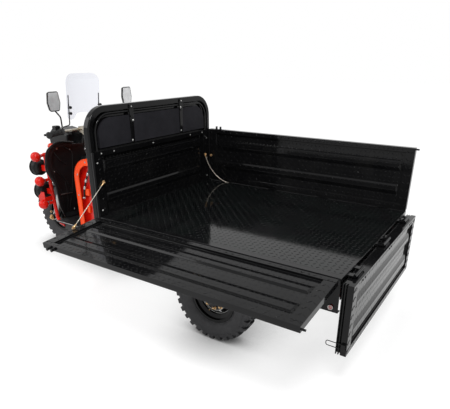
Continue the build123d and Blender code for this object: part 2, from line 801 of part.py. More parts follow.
def make_guards():
    bars, lamps, lenses = [], [], []
    for side in (-1, 1):
        bar = guard_bar(side, guard_bar_r)
        y = side * guard_bar_at
        for z in ball_levels:
            bar += rod((guard_bar_at_level(z), y, z), (ball_x, side * ball_at, z), 11)
            bar += Pos(ball_x, side * ball_at, z) * Sphere(ball_r)
        for arm, z, r in zip(lamp_arms, lamp_levels, lamp_radii):
            x = guard_bar_at_level(z) + arm
            bar += block(guard_bar_at_level(z), x, y - 11, y + 11, z - 20, z + 20)
            lamps += lamp_can(x, y, z, r).solids()
            lenses += lamp_dome(x + lamp_deep, y, z, r - 6).solids()
        bar += lamp_bracket(side, lamp_levels[-1])
        bars += bar.solids()
    save(Compound(children=bars), "side_guards")
    save(Compound(children=lamps), "spot_lamps")
    save(Compound(children=lenses), "spot_lenses")


# ---- Wheels ----
def turned(sections, sides):
    """A closed form of flat faces through rings about Z, each given by its radius and level."""
    rings = []
    for r, z in sections:
        reach = r / cos(pi / sides)
        angles = [2 * pi * i / sides for i in range(sides)]
        rings.append([(reach * cos(a), reach * sin(a), z) for a in angles])
    outlines = [rings[0], rings[-1]]
    for low, high in zip(rings, rings[1:]):
        outlines += [[low[i - 1], low[i], high[i], high[i - 1]] for i in range(sides)]
    return Solid(Shell([Face(Wire.make_polygon(outline)) for outline in outlines]))


def shoulder_lugs(half):
    """One shoulder's tread lugs about Z, each centred on a flat of the tyre."""
    carcass = wheel_r - tread_deep
    outline = [(carcass * 0.93, half - 2), (wheel_r - 9, half)]
    outline += [(wheel_r, half * 0.4), (carcass - 6, half * 0.4)]
    lug = extrude(Plane.XZ * make_face(Polyline(*outline, close=True)), lug_long / 2, both=True)
    pitch = 360 / tyre_sides
    return [Rot(Z=pitch * (i + 0.5)) * lug for i in range(tyre_sides)]


def tyre(width, x, y):
    """A tyre about a wheel's axis: beads, sidewalls, a tread band and its shoulder lugs."""
    half, bead = width / 2, rim_wide / 2 - rim_thick
    carcass = wheel_r - tread_deep
    right = [(bead_r + 12, bead), (carcass * 0.76, half), (carcass * 0.93, half - 2), (carcass, half * 0.72)]
    form = turned([(r, -z) for r, z in right] + [(r, z) for r, z in reversed(right)], tyre_sides)
    hollow = [(bead_r, bead + 1), (bead_r, bead - 12), (carcass * 0.8, half - 12)]
    inside = turned([(r, -z) for r, z in hollow] + [(r, z) for r, z in reversed(hollow)], tyre_sides // 2)
    lugs = shoulder_lugs(half)
    form = (form - inside).fuse(*lugs, *[mirror(lug, about=Plane.XY) for lug in lugs])
    return Pos(x, y, axle_z) * Rot(X=90) * form


def rim(x, y, hub_low, hub_high, face):
    """A rim with its dished, holed disc, hub and drum, whose outer face is on the face side, 1 or -1."""
    half = rim_wide / 2
    well = bead_r - 22
    barrel = [
        (rim_flange_r, half),
        (rim_flange_r, half - rim_thick),
        (bead_r, half - rim_thick),
        (bead_r, half - 18),
        (well, half - 26),
        (well, -half + 26),
        (bead_r, -half + 18),
        (bead_r, -half + rim_thick),
        (rim_flange_r, -half + rim_thick),
        (rim_flange_r, -half),
        (bead_r - rim_thick, -half),
        (bead_r - rim_thick, -half + 18),
        (well - rim_thick, -half + 26),
        (well - rim_thick, half - 26),
        (bead_r - rim_thick, half - 18),
        (bead_r - rim_thick, half),
    ]
    wheel = ring_y(barrel, x, y, axle_z)
    edge, step = well - rim_thick + 0.5, disc_bolt_r + 14
    dish = [(0, dish_out), (step, dish_out), (edge - 8, dish_in), (edge, dish_in)]
    dish += [(r, w - rim_thick) for r, w in reversed(dish)]
    wheel += ring_y([(r, face * w) for r, w in dish], x, y, axle_z)
    hole_ring = (step + edge - 8) / 2
    for i in range(disc_holes):
        angle = radians(360 / disc_holes * (i + 0.5))
        cx, cz = x + hole_ring * cos(angle), axle_z + hole_ring * sin(angle)
        wheel -= rod((cx, y + face * (dish_in - 12), cz), (cx, y + face * (dish_out + 6), cz), disc_hole_r)
    nut = RegularPolygon(disc_nut_r, 6)
    for i in range(disc_nuts):
        angle = radians(360 / disc_nuts * i)
        cx, cz = x + disc_bolt_r * cos(angle), axle_z + disc_bolt_r * sin(angle)
        foot = y + face * (dish_out - 1)
        seat = Plane(origin=(cx, foot, cz), x_dir=(1, 0, 0), z_dir=(0, face, 0))
        wheel += extrude(seat * nut, disc_nut_high + 1)
    wheel += rod((x, y + hub_low, axle_z), (x, y + hub_high, axle_z), hub_r)
    wheel -= rod((x, y - 200, axle_z), (x, y + 200, axle_z), spindle_r + bearing_clearance)
    return wheel


def make_wheels():
    for side, name in ((1, "left"), (-1, "right")):
        y = side * rear_wheel_at
        save(tyre(rear_tyre_wide, rear_axle_x, y), f"rear_tyre_{name}")
        low, high = sorted((side * -60, side * 45))
        save(rim(rear_axle_x, y, low, high, side), f"rear_rim_{name}")
    save(tyre(front_tyre_wide, front_axle_x, 0), "front_tyre")
    save(rim(front_axle_x, 0, -55, 55, 1), "front_rim")


# ---- Mudguards ----
def guard_arc(x, inner_r, wide, y, from_deg, to_deg):
    ring = Pos(x, y, axle_z) * Rot(X=90) * (Cylinder(inner_r + guard_thick, wide) - Cylinder(inner_r, wide))
    corners = [(0, 0)]
    steps = 6
    for i in range(steps + 1):
        a = radians(from_deg + (to_deg - from_deg) * i / steps)
        corners.append((600 * cos(a), 600 * sin(a)))
    wedge = make_face(Plane.XZ * Polyline(*corners, close=True))
    wedge = Pos(x, y + wide / 2 + 1, axle_z) * extrude(wedge, wide + 2)
    return ring & wedge


def make_mudguards():
    rear = guard_arc(rear_axle_x, wheel_r + 14, 132, rear_wheel_at - 4, 12, 168)
    for x in (rear_axle_x - 90, rear_axle_x + 90):
        rear += block(x - 15, x + 15, rear_wheel_at - 50, rear_wheel_at + 50, -82, rail_top)
    save(pair(rear), "rear_mudguards")
    front = guard_arc(front_axle_x, wheel_r + front_guard_gap, front_guard_wide, 0, 15, 165)
    centre = on_axis(wheel_r + front_guard_gap, fork_offset)
    lug = block(centre.X - 14, centre.X + 14, front_guard_wide / 2 - 4, fork_leg_at, centre.Z - 12, centre.Z + 3)
    front += both_sides(lug) - both_sides(fork_leg())
    save(front, "front_mudguard")


# ---- Steering ----
def fork_leg():
    """The left leg: the slider at the wheel and the tube above it."""
    slider = axis_rod(-30, fork_slider_top, fork_slider_r, fork_offset, fork_leg_at)
    return slider + axis_rod(fork_slider_top, head_high + 40, fork_tube_r, fork_offset, fork_leg_at)


def make_fork():
    fork = axis_rod(head_low - 20, bar_clamp_low, stem_r)
    for low, high in ((head_low - 30, head_low - 4), (head_high + 4, head_high + 26)):
        plate = axis_rod(low, high, 40) + axis_rod(low, high, 30, fork_offset, fork_leg_at)
        plate += axis_rod(low, high, 30, fork_offset, -fork_leg_at)
        start = on_axis(low)
        plane = Plane(origin=start, x_dir=axis_out, z_dir=axis_dir)
        bridge = plane * Pos(fork_offset / 2, 0) * Rectangle(fork_offset + 30, 2 * fork_leg_at)
        fork += plate + extrude(bridge, high - low)
    fork += both_sides(fork_leg())
    y = fork_leg_at + fork_slider_r + 14
    fork += rod((front_axle_x, -y, axle_z), (front_axle_x, y, axle_z), spindle_r)
    save(fork, "fork")


def bar_ends():
    """The left half of the handlebar's centre line, from its end to the clamp."""
    clamp = on_axis((bar_clamp_low + bar_clamp_high) / 2, 16)
    inner = Vector(clamp.X + 37, bar_rise_at, clamp.Z + 7)
    elbow = Vector(inner.X - 90, bar_elbow_at, inner.Z + 15)
    end = Vector(elbow.X - 48, bar_half, elbow.Z - 3)
    return [end, elbow, inner]


def bar_shape():
    left = [tuple(p) for p in bar_ends()]
    right = [(x, -y, z) for x, y, z in reversed(left)]
    bar = pipe(left + right, bar_r, 40)
    plane = Plane(origin=on_axis(bar_clamp_low), x_dir=axis_out, z_dir=axis_dir)
    clamp = extrude(plane * Pos(16, 0) * Rectangle(76, 56), bar_clamp_high - bar_clamp_low)
    return bar + clamp


def left_lever():
    """The left lever with its perch round the bar, just inboard of the grip."""
    end, elbow = bar_ends()[:2]
    along = (elbow - end).normalized()
    perch = end + along * (grip_length + 3)
    collar = rod(perch, perch + along * 22, bar_r + 6)
    pivot = perch + along * 11 + Vector(30, 0, 0)
    arm = rod(perch + along * 11, pivot, 8)
    tip = pivot - along * lever_long + Vector(24, 0, -4)
    blade = pipe([tuple(pivot), tuple(pivot - along * 30 + Vector(16, 0, 0)), tuple(tip)], lever_r, 20)
    return collar + arm + blade + Pos(*tip) * Sphere(lever_r + 3)


def make_bar():
    bar = bar_shape()
    save(bar, "handlebar")
    end, elbow = bar_ends()[:2]
    along = (elbow - end).normalized()
    grip = rod(end, end + along * grip_length, grip_r)
    for i in range(grip_rings):
        start = end + along * (14 + i * (grip_length - 28) / (grip_rings - 1))
        grip += rod(start - along * 2, start + along * 2, grip_r + 1.5)
    grip += rod(end, end + along * 5, grip_r + 5)
    parts = [(grip - bar).solids(), (left_lever() - bar).solids()]
    save(pair(Compound(children=[*parts[0], *parts[1]])), "hand_grips")


def make_cowl():
    """The lamp cowl on the fork's upper end, with the instrument box on its back."""
    stem = on_axis(bar_clamp_low - 80)
    back, mid, nose = stem.X + 56, stem.X + 220, stem.X + 270
    low, high = lens_z - 60, lens_z + 100
    outline = [(back, lens_z - 45), (back - 12, high - 30), (mid, high), (nose, high - 42)]
    outline += [(nose - 14, low - 2), (back + 64, low - 14)]
    cowl = side_profile(outline, -cowl_half, cowl_half)
    long_edges = [e for e in cowl.edges() if abs(abs((e @ 0.5).Y) - cowl_half) < 0.5]
    cowl = fillet(long_edges, cowl_edge_r)
    box = block(back - 22, back + 70, -dial_half, dial_half, high - 34, high - 12)
    cowl += fillet(box.edges().filter_by(Axis.Z), 12)
    grip = block(stem.X, back + 10, -30, 30, lens_z - 20, lens_z + 10)
    cowl = cowl + grip - axis_rod(head_high + 60, bar_clamp_low - 1, stem_r)
    save(cowl, "headlight_cowl")
    lens = lamp_dome(nose - 16, 0, lens_z, lens_r) - cowl
    lens = lens.solids().sort_by(Axis.X)[-1]
    save(lens, "headlight_lens")
    x, z = mid - 40, lens_z - 20
    lamp = rod((x, cowl_half, z), (x, cowl_half + 40, z), 9)
    lamp += Pos(x, cowl_half + 54, z) * Sphere(indicator_r)
    save(pair(lamp), "indicators")


def screen_plane():
    """The plane at the screen's foot, leaning back towards the rider."""
    foot = on_axis(bar_clamp_low)
    return Plane(origin=(foot.X - 10, 0, foot.Z + 106), x_dir=(0, 1, 0), z_dir=(1, 0, 0.12))


def screen_sheet(grow):
    """The screen's curved sheet, or with grow a little thicker on both faces."""
    half, high, notch = screen_half, screen_high, screen_notch
    outline = [(-half, 20), (-half + 35, 0), (-notch - 30, 8), (-notch, 42)]
    outline += [(-y, z) for y, z in reversed(outline)] + [(half, high), (-half, high)]
    face = make_face(Polyline(*outline, close=True))
    top = face.vertices().sort_by(Axis.Y)[-2:]
    face = fillet(top, 60)
    low = [v for v in face.vertices() if v.Y < 60]
    face = fillet(low, 14)
    axis = Pos(0, screen_high / 2, screen_bulge - screen_bend_r) * Rot(X=90)
    bend = Cylinder(screen_bend_r + grow, screen_high * 1.2)
    bend -= Cylinder(screen_bend_r - screen_thick - grow, screen_high * 1.2)
    slab = Pos(0, 0, -screen_bulge) * extrude(face, 3 * screen_bulge)
    return screen_plane() * (slab & (axis * bend))


def mirror_foot():
    """Where the left mirror's stem stands on the handlebar."""
    end, elbow, inner = bar_ends()
    return elbow + (inner - elbow) * 0.12


def make_screen():
    screen = screen_sheet(0)
    save(screen, "windscreen")
    foot = mirror_foot()
    spread = screen_half - 12
    rear = screen_plane().origin
    behind = Vector(rear.X - screen_rod_r - 1, spread, rear.Z)
    route = [tuple(foot + Vector(-4, -0.6, 30)), (behind.X + 4, spread, foot.Z + 34)]
    route += [(behind.X - 12, spread, rear.Z + 110)]
    bar = pipe(route, screen_rod_r, 14)
    for up in (50, 90):
        at = Vector(behind.X - 4 - up * 0.1, spread, rear.Z + up)
        bar += rod(at - Vector(6, 0, 0), at + Vector(24, 0, 0), 6)
    bar = bar - screen_sheet(seat_gap) - bar_shape()
    near = sorted(bar.solids(), key=lambda solid: solid.volume)[-1]
    save(pair(near), "screen_rods")


def make_mirrors():
    foot = mirror_foot()
    head = foot + Vector(-96, mirror_out, mirror_up)
    low = foot + Vector(-18, 16, 100)
    high = foot + Vector(-86, mirror_out - 3, mirror_up - 55)
    stem = pipe([tuple(foot), tuple(low), tuple(high)], mirror_stem_r, 40)
    stem += rod(foot, foot + Vector(-3, 2, 24), mirror_stem_r + 4)
    half, tall = mirror_half, mirror_tall
    outline = [(-0.76, -1), (0.76, -1), (1, -0.16), (0.8, 1), (-0.8, 1), (-1, -0.16)]
    face = make_face(Polyline(*[(a * half, b * tall) for a, b in outline], close=True))
    face = fillet(face.vertices(), 14)
    plane = Plane(origin=head, x_dir=(0, 1, 0), z_dir=(1, 0, 0))
    shell = extrude(plane * face, mirror_deep, taper=18)
    frame = stem + shell - bar_shape()
    near = sorted(frame.solids(), key=lambda solid: solid.volume)[-1]
    save(pair(near), "mirrors")
    save(pair(extrude(plane.offset(-2) * offset(face, -6), 2)), "mirror_glass")


# ---- Rear lamps ----
def make_lamps():
    x = -bed_half_l + reflector_from_end
    y = bed_half_w - 2
    reflector = rod((x, y, reflector_z), (x, y + 7, reflector_z), reflector_r)
    lamps = [*tail_lamp().solids(), *reflector.solids()]
    save(pair(Compound(children=lamps)), "tail_lamps")


# ---- Stay cables ----
right_cable = [
    (headboard_x - stay_lug_thick, -stay_anchor_at, stay_anchor_z),
    (742, -517, 161),
    (722, -521, 117),
    (694, -527, 77),
    (660, -534, 43),
    (625, -541, 17),
    (592, -547, 4.5),
]


def cord_radii(points):
    """The largest arcs that the route's own runs allow, one for each inner point."""
    points = [Vector(*p) for p in points]
    radii = []
    for before, at, after in zip(points, points[1:], points[2:]):
        run = min((at - before).length, (after - at).length)
        turn = (at - before).get_angle(after - at)
        radii.append(0.45 * run / tan(radians(turn / 2)))
    return radii


def make_cables():
    hinge = Vector(side_length / 2 - stay_boss_from_end, side_hinge_y, -hinge_drop)
    arm = Vector(0, -side_hinge_inset - stay_boss_high, stay_boss_up)
    hook = hinge + arm.rotate(Axis.X, -side_open_deg)
    start = Vector(headboard_x - stay_lug_thick - cable_r, stay_anchor_at, stay_anchor_z)
    along = (hook - start).normalized()
    save(rod(start, hook - along * 2 * cable_r, cable_r), "stay_cable_left")
    radii = cord_radii(right_cable)
    print("right stay cable's arcs, mm:", [round(r) for r in radii])
    path = FilletPolyline(*right_cable, radius=radii)
    cable = sweep(Plane(origin=path @ 0, z_dir=path % 0) * Circle(cable_r), path=path)
    cable -= block(headboard_x - stay_lug_thick, headboard_x + 10, -600, -400, 100, 300)
    save(cable, "stay_cable_right")
    end, along = path @ 1, path % 1
    ferrule = rod(end, end + along * 16, ferrule_r)
    tip = end + along * 22
    lug = rod((tip.X, tip.Y, 0), (tip.X, tip.Y, stay_lug_thick), stay_lug_r)
    lug += ferrule - block(400, 700, -600, -500, -20, 0)
    lug -= rod((tip.X, tip.Y, -1), (tip.X, tip.Y, stay_lug_thick + 1), ferrule_r)
    save(lug, "stay_lug_right")


make_panels()
make_bed()
make_headboard()
make_chassis()
make_rear_axle()
make_battery()
make_rider()
make_leg_shield()
make_guards()
make_wheels()
make_mudguards()
make_fork()
make_bar()
make_cowl()
make_screen()
make_mirrors()
make_lamps()
make_cables()
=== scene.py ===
"""The looks of a three-wheeled cargo tricycle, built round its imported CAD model. Metres."""

import json
from math import cos, pi, radians, sin

import bpy
from mathutils import Matrix, Vector


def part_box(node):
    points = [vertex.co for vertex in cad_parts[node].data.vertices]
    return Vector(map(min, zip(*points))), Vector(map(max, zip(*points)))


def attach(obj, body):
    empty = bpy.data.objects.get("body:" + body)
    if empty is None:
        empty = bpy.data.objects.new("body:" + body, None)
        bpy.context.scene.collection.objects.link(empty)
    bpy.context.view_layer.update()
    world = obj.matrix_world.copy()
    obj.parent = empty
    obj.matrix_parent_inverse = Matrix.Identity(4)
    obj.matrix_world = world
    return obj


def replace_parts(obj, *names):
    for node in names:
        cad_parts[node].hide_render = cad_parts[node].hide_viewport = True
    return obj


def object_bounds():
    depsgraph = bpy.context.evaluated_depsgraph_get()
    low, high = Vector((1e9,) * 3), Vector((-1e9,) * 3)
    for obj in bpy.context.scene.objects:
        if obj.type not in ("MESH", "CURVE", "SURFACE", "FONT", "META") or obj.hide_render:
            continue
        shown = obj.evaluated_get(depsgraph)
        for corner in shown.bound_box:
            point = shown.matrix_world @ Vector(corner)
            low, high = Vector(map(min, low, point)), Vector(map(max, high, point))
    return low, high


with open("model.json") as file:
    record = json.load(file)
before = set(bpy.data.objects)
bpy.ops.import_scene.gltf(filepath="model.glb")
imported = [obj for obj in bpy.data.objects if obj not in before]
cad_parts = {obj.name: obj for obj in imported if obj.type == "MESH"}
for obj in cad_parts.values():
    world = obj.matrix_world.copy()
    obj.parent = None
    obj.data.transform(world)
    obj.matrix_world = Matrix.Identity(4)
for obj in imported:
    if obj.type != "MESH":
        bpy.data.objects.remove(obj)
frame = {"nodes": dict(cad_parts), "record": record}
cad_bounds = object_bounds()
nodes = frame["nodes"]
slots = {part["material_slot"] for part in frame["record"]["subparts"]}
scene = bpy.context.scene


# ---- Camera ----
def make_camera():
    """A camera behind the tricycle's left rear corner, looking down on the bed."""
    azimuth, elevation = radians(33.44), radians(23.83)
    look = Vector((sin(azimuth) * cos(elevation), -cos(azimuth) * cos(elevation), -sin(elevation)))
    data = bpy.data.cameras.new("camera")
    data.lens = 35.97
    data.shift_y = 0.118
    camera = bpy.data.objects.new("camera", data)
    camera.location = (-1.290, 2.305, 0.872)
    camera.rotation_mode = "QUATERNION"
    camera.rotation_quaternion = look.to_track_quat("-Z", "Y")
    scene.collection.objects.link(camera)
    scene.camera = camera
    scene.view_settings.view_transform = "Standard"


# ---- Node helpers ----
class Nodes:
    """A small wrapper that adds and links shader nodes."""

    def __init__(self, tree):
        self.tree = tree

    def add(self, kind, inputs=None, **settings):
        node = self.tree.nodes.new(kind)
        for key, value in settings.items():
            setattr(node, key, value)
        for key, value in (inputs or {}).items():
            if isinstance(value, bpy.types.NodeSocket):
                self.tree.links.new(value, node.inputs[key])
            else:
                node.inputs[key].default_value = value
        return node

    def noise(self, scale, detail=3.0, roughness=0.5, vector=None):
        inputs = {"Scale": scale, "Detail": detail, "Roughness": roughness}
        if vector is not None:
            inputs["Vector"] = vector
        return self.add("ShaderNodeTexNoise", inputs).outputs["Fac"]

    def ramp(self, value, low, high, to_low, to_high):
        """Maps a value from low..high onto to_low..to_high."""
        inputs = {"Value": value, "From Min": low, "From Max": high, "To Min": to_low, "To Max": to_high}
        return self.add("ShaderNodeMapRange", inputs).outputs["Result"]

    def blend(self, factor, first, second):
        """A colour between two others."""
        node = self.add("ShaderNodeMix", data_type="RGBA")
        for socket, value in ((node.inputs[0], factor), (node.inputs[6], first), (node.inputs[7], second)):
            if isinstance(value, bpy.types.NodeSocket):
                self.tree.links.new(value, socket)
            else:
                socket.default_value = value
        return node.outputs[2]

    def bump(self, height, strength, distance, normal=None):
        inputs = {"Height": height, "Strength": strength, "Distance": distance}
        if normal is not None:
            inputs["Normal"] = normal
        return self.add("ShaderNodeBump", inputs).outputs["Normal"]


def new_material(name):
    """An empty principled material and its node wrapper."""
    material = bpy.data.materials.new(name)
    material.use_nodes = True
    material.node_tree.nodes.clear()
    tree = Nodes(material.node_tree)
    shader = tree.add("ShaderNodeBsdfPrincipled")
    output = tree.add("ShaderNodeOutputMaterial", {"Surface": shader.outputs["BSDF"]})
    output.location = (300, 0)
    place = tree.add("ShaderNodeTexCoord").outputs["Object"]
    return material, tree, shader, place


def link(tree, shader, sockets):
    """Connects node outputs, or sets plain values, on a shader's sockets."""
    for key, value in sockets.items():
        if isinstance(value, bpy.types.NodeSocket):
            tree.tree.links.new(value, shader.inputs[key])
        else:
            shader.inputs[key].default_value = value


def surface(tree, shader, base, rough, normal, more):
    """Sets a principled shader's colour, roughness, normal and some plain values."""
    link(tree, shader, {"Base Color": base, "Roughness": rough, "Normal": normal, **more})


def paint(name, colour, dark, roughness, shine=0.5, spread=0.08, peel=0.04, dust=None, edge=0.0015):
    """Sprayed paint: slight colour drift, uneven gloss, orange peel and, where asked, a film of dust."""
    material, tree, shader, place = new_material(name)
    drift = tree.noise(7.0, 4.0, 0.6, place)
    base = tree.blend(tree.ramp(drift, 0.35, 0.65, 0.0, 1.0), (*colour, 1), (*dark, 1))
    gloss = tree.ramp(tree.noise(24.0, 5.0, 0.65, place), 0.3, 0.7, roughness, roughness + spread)
    if dust:
        film = tree.ramp(tree.noise(3.2, 6.0, 0.7, place), 0.55, 0.80, 0.0, dust)
        base = tree.blend(film, base, (0.085, 0.080, 0.068, 1))
    soft_edge = tree.add("ShaderNodeBevel", {"Radius": edge}, samples=6).outputs["Normal"]
    normal = tree.bump(tree.noise(260.0, 2.0, 0.5, place), peel, 0.0006, soft_edge)
    surface(tree, shader, base, gloss, normal, {"Specular IOR Level": shine})
    return material


def rubber(name, colour, roughness, grain, shine=0.3):
    """Rubber or plastic with a fine grain and a grey bloom."""
    material, tree, shader, place = new_material(name)
    bloom = tree.ramp(tree.noise(9.0, 5.0, 0.65, place), 0.35, 0.75, 0.0, 1.0)
    base = tree.blend(bloom, (*colour, 1), (*[c * 1.5 + 0.002 for c in colour], 1))
    rough = tree.ramp(tree.noise(60.0, 4.0, 0.6, place), 0.3, 0.7, roughness - 0.06, roughness + 0.08)
    normal = tree.bump(tree.noise(grain, 3.0, 0.6, place), 0.25, 0.0006)
    surface(tree, shader, base, rough, normal, {"Specular IOR Level": shine})
    return material


def leather(name, colour):
    """Seat vinyl: a pebbled grain with fine creases and a soft sheen on the high spots."""
    material, tree, shader, place = new_material(name)
    cells = tree.add("ShaderNodeTexVoronoi", {"Vector": place, "Scale": 420.0}, feature="F1")
    crease = tree.noise(26.0, 6.0, 0.7, place)
    wear = tree.ramp(tree.noise(5.0, 4.0, 0.6, place), 0.4, 0.7, 0.0, 1.0)
    base = tree.blend(wear, (*colour, 1), (*[c * 1.8 for c in colour], 1))
    rough = tree.ramp(crease, 0.3, 0.7, 0.42, 0.58)
    pebbles = tree.bump(cells.outputs["Distance"], 0.30, 0.0006)
    normal = tree.bump(crease, 0.22, 0.0022, pebbles)
    surface(tree, shader, base, rough, normal, {"Specular IOR Level": 0.35})
    return material


def tyre_rubber(name, colour):
    """Tyre rubber with dusty patches and specks, and a fine moulded grain."""
    material, tree, shader, place = new_material(name)
    patch = tree.ramp(tree.noise(14.0, 6.0, 0.7, place), 0.35, 0.7, 0.0, 1.0)
    base = tree.blend(patch, (*colour, 1), (*[c * 1.6 for c in colour], 1))
    speck = tree.ramp(tree.noise(120.0, 5.0, 0.8, place), 0.56, 0.72, 0.0, 0.35)
    base = tree.blend(speck, base, (0.115, 0.105, 0.088, 1))
    rough = tree.ramp(tree.noise(50.0, 4.0, 0.6, place), 0.3, 0.7, 0.55, 0.75)
    normal = tree.bump(tree.noise(600.0, 3.0, 0.6, place), 0.3, 0.0006)
    surface(tree, shader, base, rough, normal, {"Specular IOR Level": 0.3})
    return material


def screen(name, colour):
    """Thin clear sheet, as a see-through colour with a faint gloss and smears."""
    material, tree, shader, place = new_material(name)
    clear = tree.add("ShaderNodeBsdfTransparent", {"Color": (*colour, 1)})
    smear = tree.ramp(tree.noise(12.0, 5.0, 0.7, place), 0.4, 0.8, 0.02, 0.09)
    tint = (0.72, 0.74, 0.80, 1)
    link(tree, shader, {"Roughness": smear, "Base Color": tint, "Specular IOR Level": 0.4})
    edge = tree.add("ShaderNodeLayerWeight", {"Blend": 0.35}).outputs["Facing"]
    share = tree.ramp(edge, 0.0, 1.0, 0.012, 0.4)
    mixed = tree.add("ShaderNodeMixShader", {0: share, 1: clear.outputs[0], 2: shader.outputs[0]})
    output = next(n for n in tree.tree.nodes if n.type == "OUTPUT_MATERIAL")
    tree.tree.links.new(mixed.outputs[0], output.inputs["Surface"])
    return material


def metal(name, colour, roughness, streak=0.12, metallic=1.0):
    """Bare or plated metal with fine scratches and stains."""
    material, tree, shader, place = new_material(name)
    stain = tree.ramp(tree.noise(30.0, 5.0, 0.6, place), 0.4, 0.75, 0.0, 0.55)
    base = tree.blend(stain, (*colour, 1), (*[c * 0.55 for c in colour], 1))
    rough = tree.ramp(tree.noise(85.0, 4.0, 0.7, place), 0.3, 0.7, roughness, roughness + streak)
    normal = tree.bump(tree.noise(420.0, 2.0, 0.6, place), 0.12, 0.0004)
    surface(tree, shader, base, rough, normal, {"Metallic": metallic})
    return material


def glass(name, colour, roughness):
    """Clear plastic or glass with faint smears."""
    material, tree, shader, place = new_material(name)
    smear = tree.ramp(tree.noise(16.0, 5.0, 0.7, place), 0.4, 0.8, roughness, roughness + 0.06)
    link(tree, shader, {"Roughness": smear, "Base Color": (*colour, 1)})
    link(tree, shader, {"Transmission Weight": 1.0, "IOR": 1.45})
    return material


def make_materials():
    black, deep, floor_deep = (0.0034, 0.0034, 0.0038), (0.0060, 0.0060, 0.0064), (0.0042, 0.0056, 0.0054)
    satin, satin_deep = (0.009, 0.009, 0.009), (0.015, 0.015, 0.015)
    cast, cast_deep = (0.012, 0.012, 0.013), (0.02, 0.019, 0.018)
    return {
        "gloss_black_paint": paint("gloss_black_paint", black, deep, 0.05, shine=0.17, spread=0.05, dust=0.06),
        "floor_paint": paint("floor_paint", black, floor_deep, 0.05, shine=0.18, spread=0.05, dust=0.04),
        "satin_black_paint": paint("satin_black_paint", satin, satin_deep, 0.32, shine=0.3),
        "upper_panel_matte": rubber("upper_panel_matte", (0.0125, 0.0122, 0.0150), 0.72, 700.0, 0.12),
        "orange_paint": paint("orange_paint", (0.96, 0.078, 0.006), (0.90, 0.068, 0.005), 0.2, shine=0.2),
        "red_paint": paint("red_paint", (0.70, 0.012, 0.005), (0.62, 0.010, 0.004), 0.12, shine=0.25),
        "black_plastic": rubber("black_plastic", (0.006, 0.006, 0.0065), 0.34, 900.0, 0.25),
        "seat_leather": leather("seat_leather", (0.011, 0.011, 0.012)),
        "tyre_rubber": tyre_rubber("tyre_rubber", (0.036, 0.036, 0.038)),
        "grip_rubber": rubber("grip_rubber", (0.008, 0.008, 0.008), 0.6, 800.0, 0.3),
        "steel_parts": metal("steel_parts", (0.42, 0.42, 0.41), 0.3),
        "cast_axle": paint("cast_axle", cast, cast_deep, 0.42, peel=0.3, dust=0.25, shine=0.3),
        "handlebar_chrome": metal("handlebar_chrome", (0.42, 0.38, 0.31), 0.22),
        "lamp_lens": glass("lamp_lens", (0.92, 0.94, 0.95), 0.02),
        "red_lens": paint("red_lens", (0.42, 0.008, 0.008), (0.28, 0.004, 0.004), 0.08, shine=0.5),
        "amber_lens": paint("amber_lens", (0.75, 0.045, 0.008), (0.62, 0.035, 0.006), 0.1, shine=0.4),
        "screen_clear": screen("screen_clear", (0.955, 0.96, 0.985)),
        "mirror_face": metal("mirror_face", (0.80, 0.81, 0.82), 0.08, 0.04, 0.35),
        "wire_rope": metal("wire_rope", (0.46, 0.42, 0.36), 0.34),
        "brass": metal("brass", (0.60, 0.40, 0.21), 0.28),
        "battery_case": rubber("battery_case", (0.02, 0.02, 0.022), 0.6, 600.0, 0.3),
    }


def dress_nodes(materials):
    """Gives every CAD node the material of its own slot."""
    for part in frame["record"]["subparts"]:
        node = nodes[part["node"]]
        node.data.materials.clear()
        node.data.materials.append(materials[part["material_slot"]])


# ---- Stage ----
def seen_ray(tree):
    """1 for camera, glossy and transmission rays, and 0 for the others."""
    path = tree.add("ShaderNodeLightPath").outputs
    inputs = {0: path["Is Camera Ray"], 1: path["Is Glossy Ray"]}
    either = tree.add("ShaderNodeMath", inputs, operation="MAXIMUM")
    inputs = {0: either.outputs[0], 1: path["Is Transmission Ray"]}
    return tree.add("ShaderNodeMath", inputs, operation="MAXIMUM").outputs[0]


def make_stage():
    """A white floor that keeps the object's shadow, with painted shadow where the object comes near it, and a
    white surround.
    """
    low = cad_bounds[0].z
    mesh = bpy.data.meshes.new("floor")
    mesh.from_pydata([(-30, -30, low), (30, -30, low), (30, 30, low), (-30, 30, low)], [], [(0, 1, 2, 3)])
    floor = bpy.data.objects.new("floor", mesh)
    scene.collection.objects.link(floor)
    material = bpy.data.materials.new("floor_white_painted_shadow")
    material.use_nodes = True
    material.node_tree.nodes.clear()
    tree = Nodes(material.node_tree)
    seen = seen_ray(tree)
    lit = tree.add("ShaderNodeBsdfDiffuse", {"Color": (0.30, 0.30, 0.30, 1)})
    # Painted shadow: ambient occlusion dims the floor's white glow where the object is near, on top of the lit
    # shadow.
    near = tree.add("ShaderNodeAmbientOcclusion", {"Distance": 0.45}, samples=12).outputs["AO"]
    strength = tree.ramp(near, 0.30, 0.92, 0.04, 0.86)
    glow = tree.add("ShaderNodeEmission", {"Color": (1, 1, 1, 1), "Strength": strength})
    both = tree.add("ShaderNodeAddShader")
    tree.tree.links.new(lit.outputs[0], both.inputs[0])
    tree.tree.links.new(glow.outputs[0], both.inputs[1])
    plain = tree.add("ShaderNodeBsdfDiffuse", {"Color": (0.8, 0.8, 0.8, 1)})
    mixed = tree.add("ShaderNodeMixShader", {"Fac": seen})
    tree.tree.links.new(plain.outputs[0], mixed.inputs[1])
    tree.tree.links.new(both.outputs[0], mixed.inputs[2])
    tree.add("ShaderNodeOutputMaterial", {"Surface": mixed.outputs[0]})
    mesh.materials.append(material)

    world = bpy.data.worlds.new("surround")
    world.use_nodes = True
    world.node_tree.nodes.clear()
    tree = Nodes(world.node_tree)
    seen = seen_ray(tree)
    strength = tree.ramp(seen, 0.0, 1.0, 0.55, 1.0)
    surround = tree.add("ShaderNodeBackground", {"Color": (1, 1, 1, 1), "Strength": strength})
    tree.add("ShaderNodeOutputWorld", {"Surface": surround.outputs[0]})
    scene.world = world


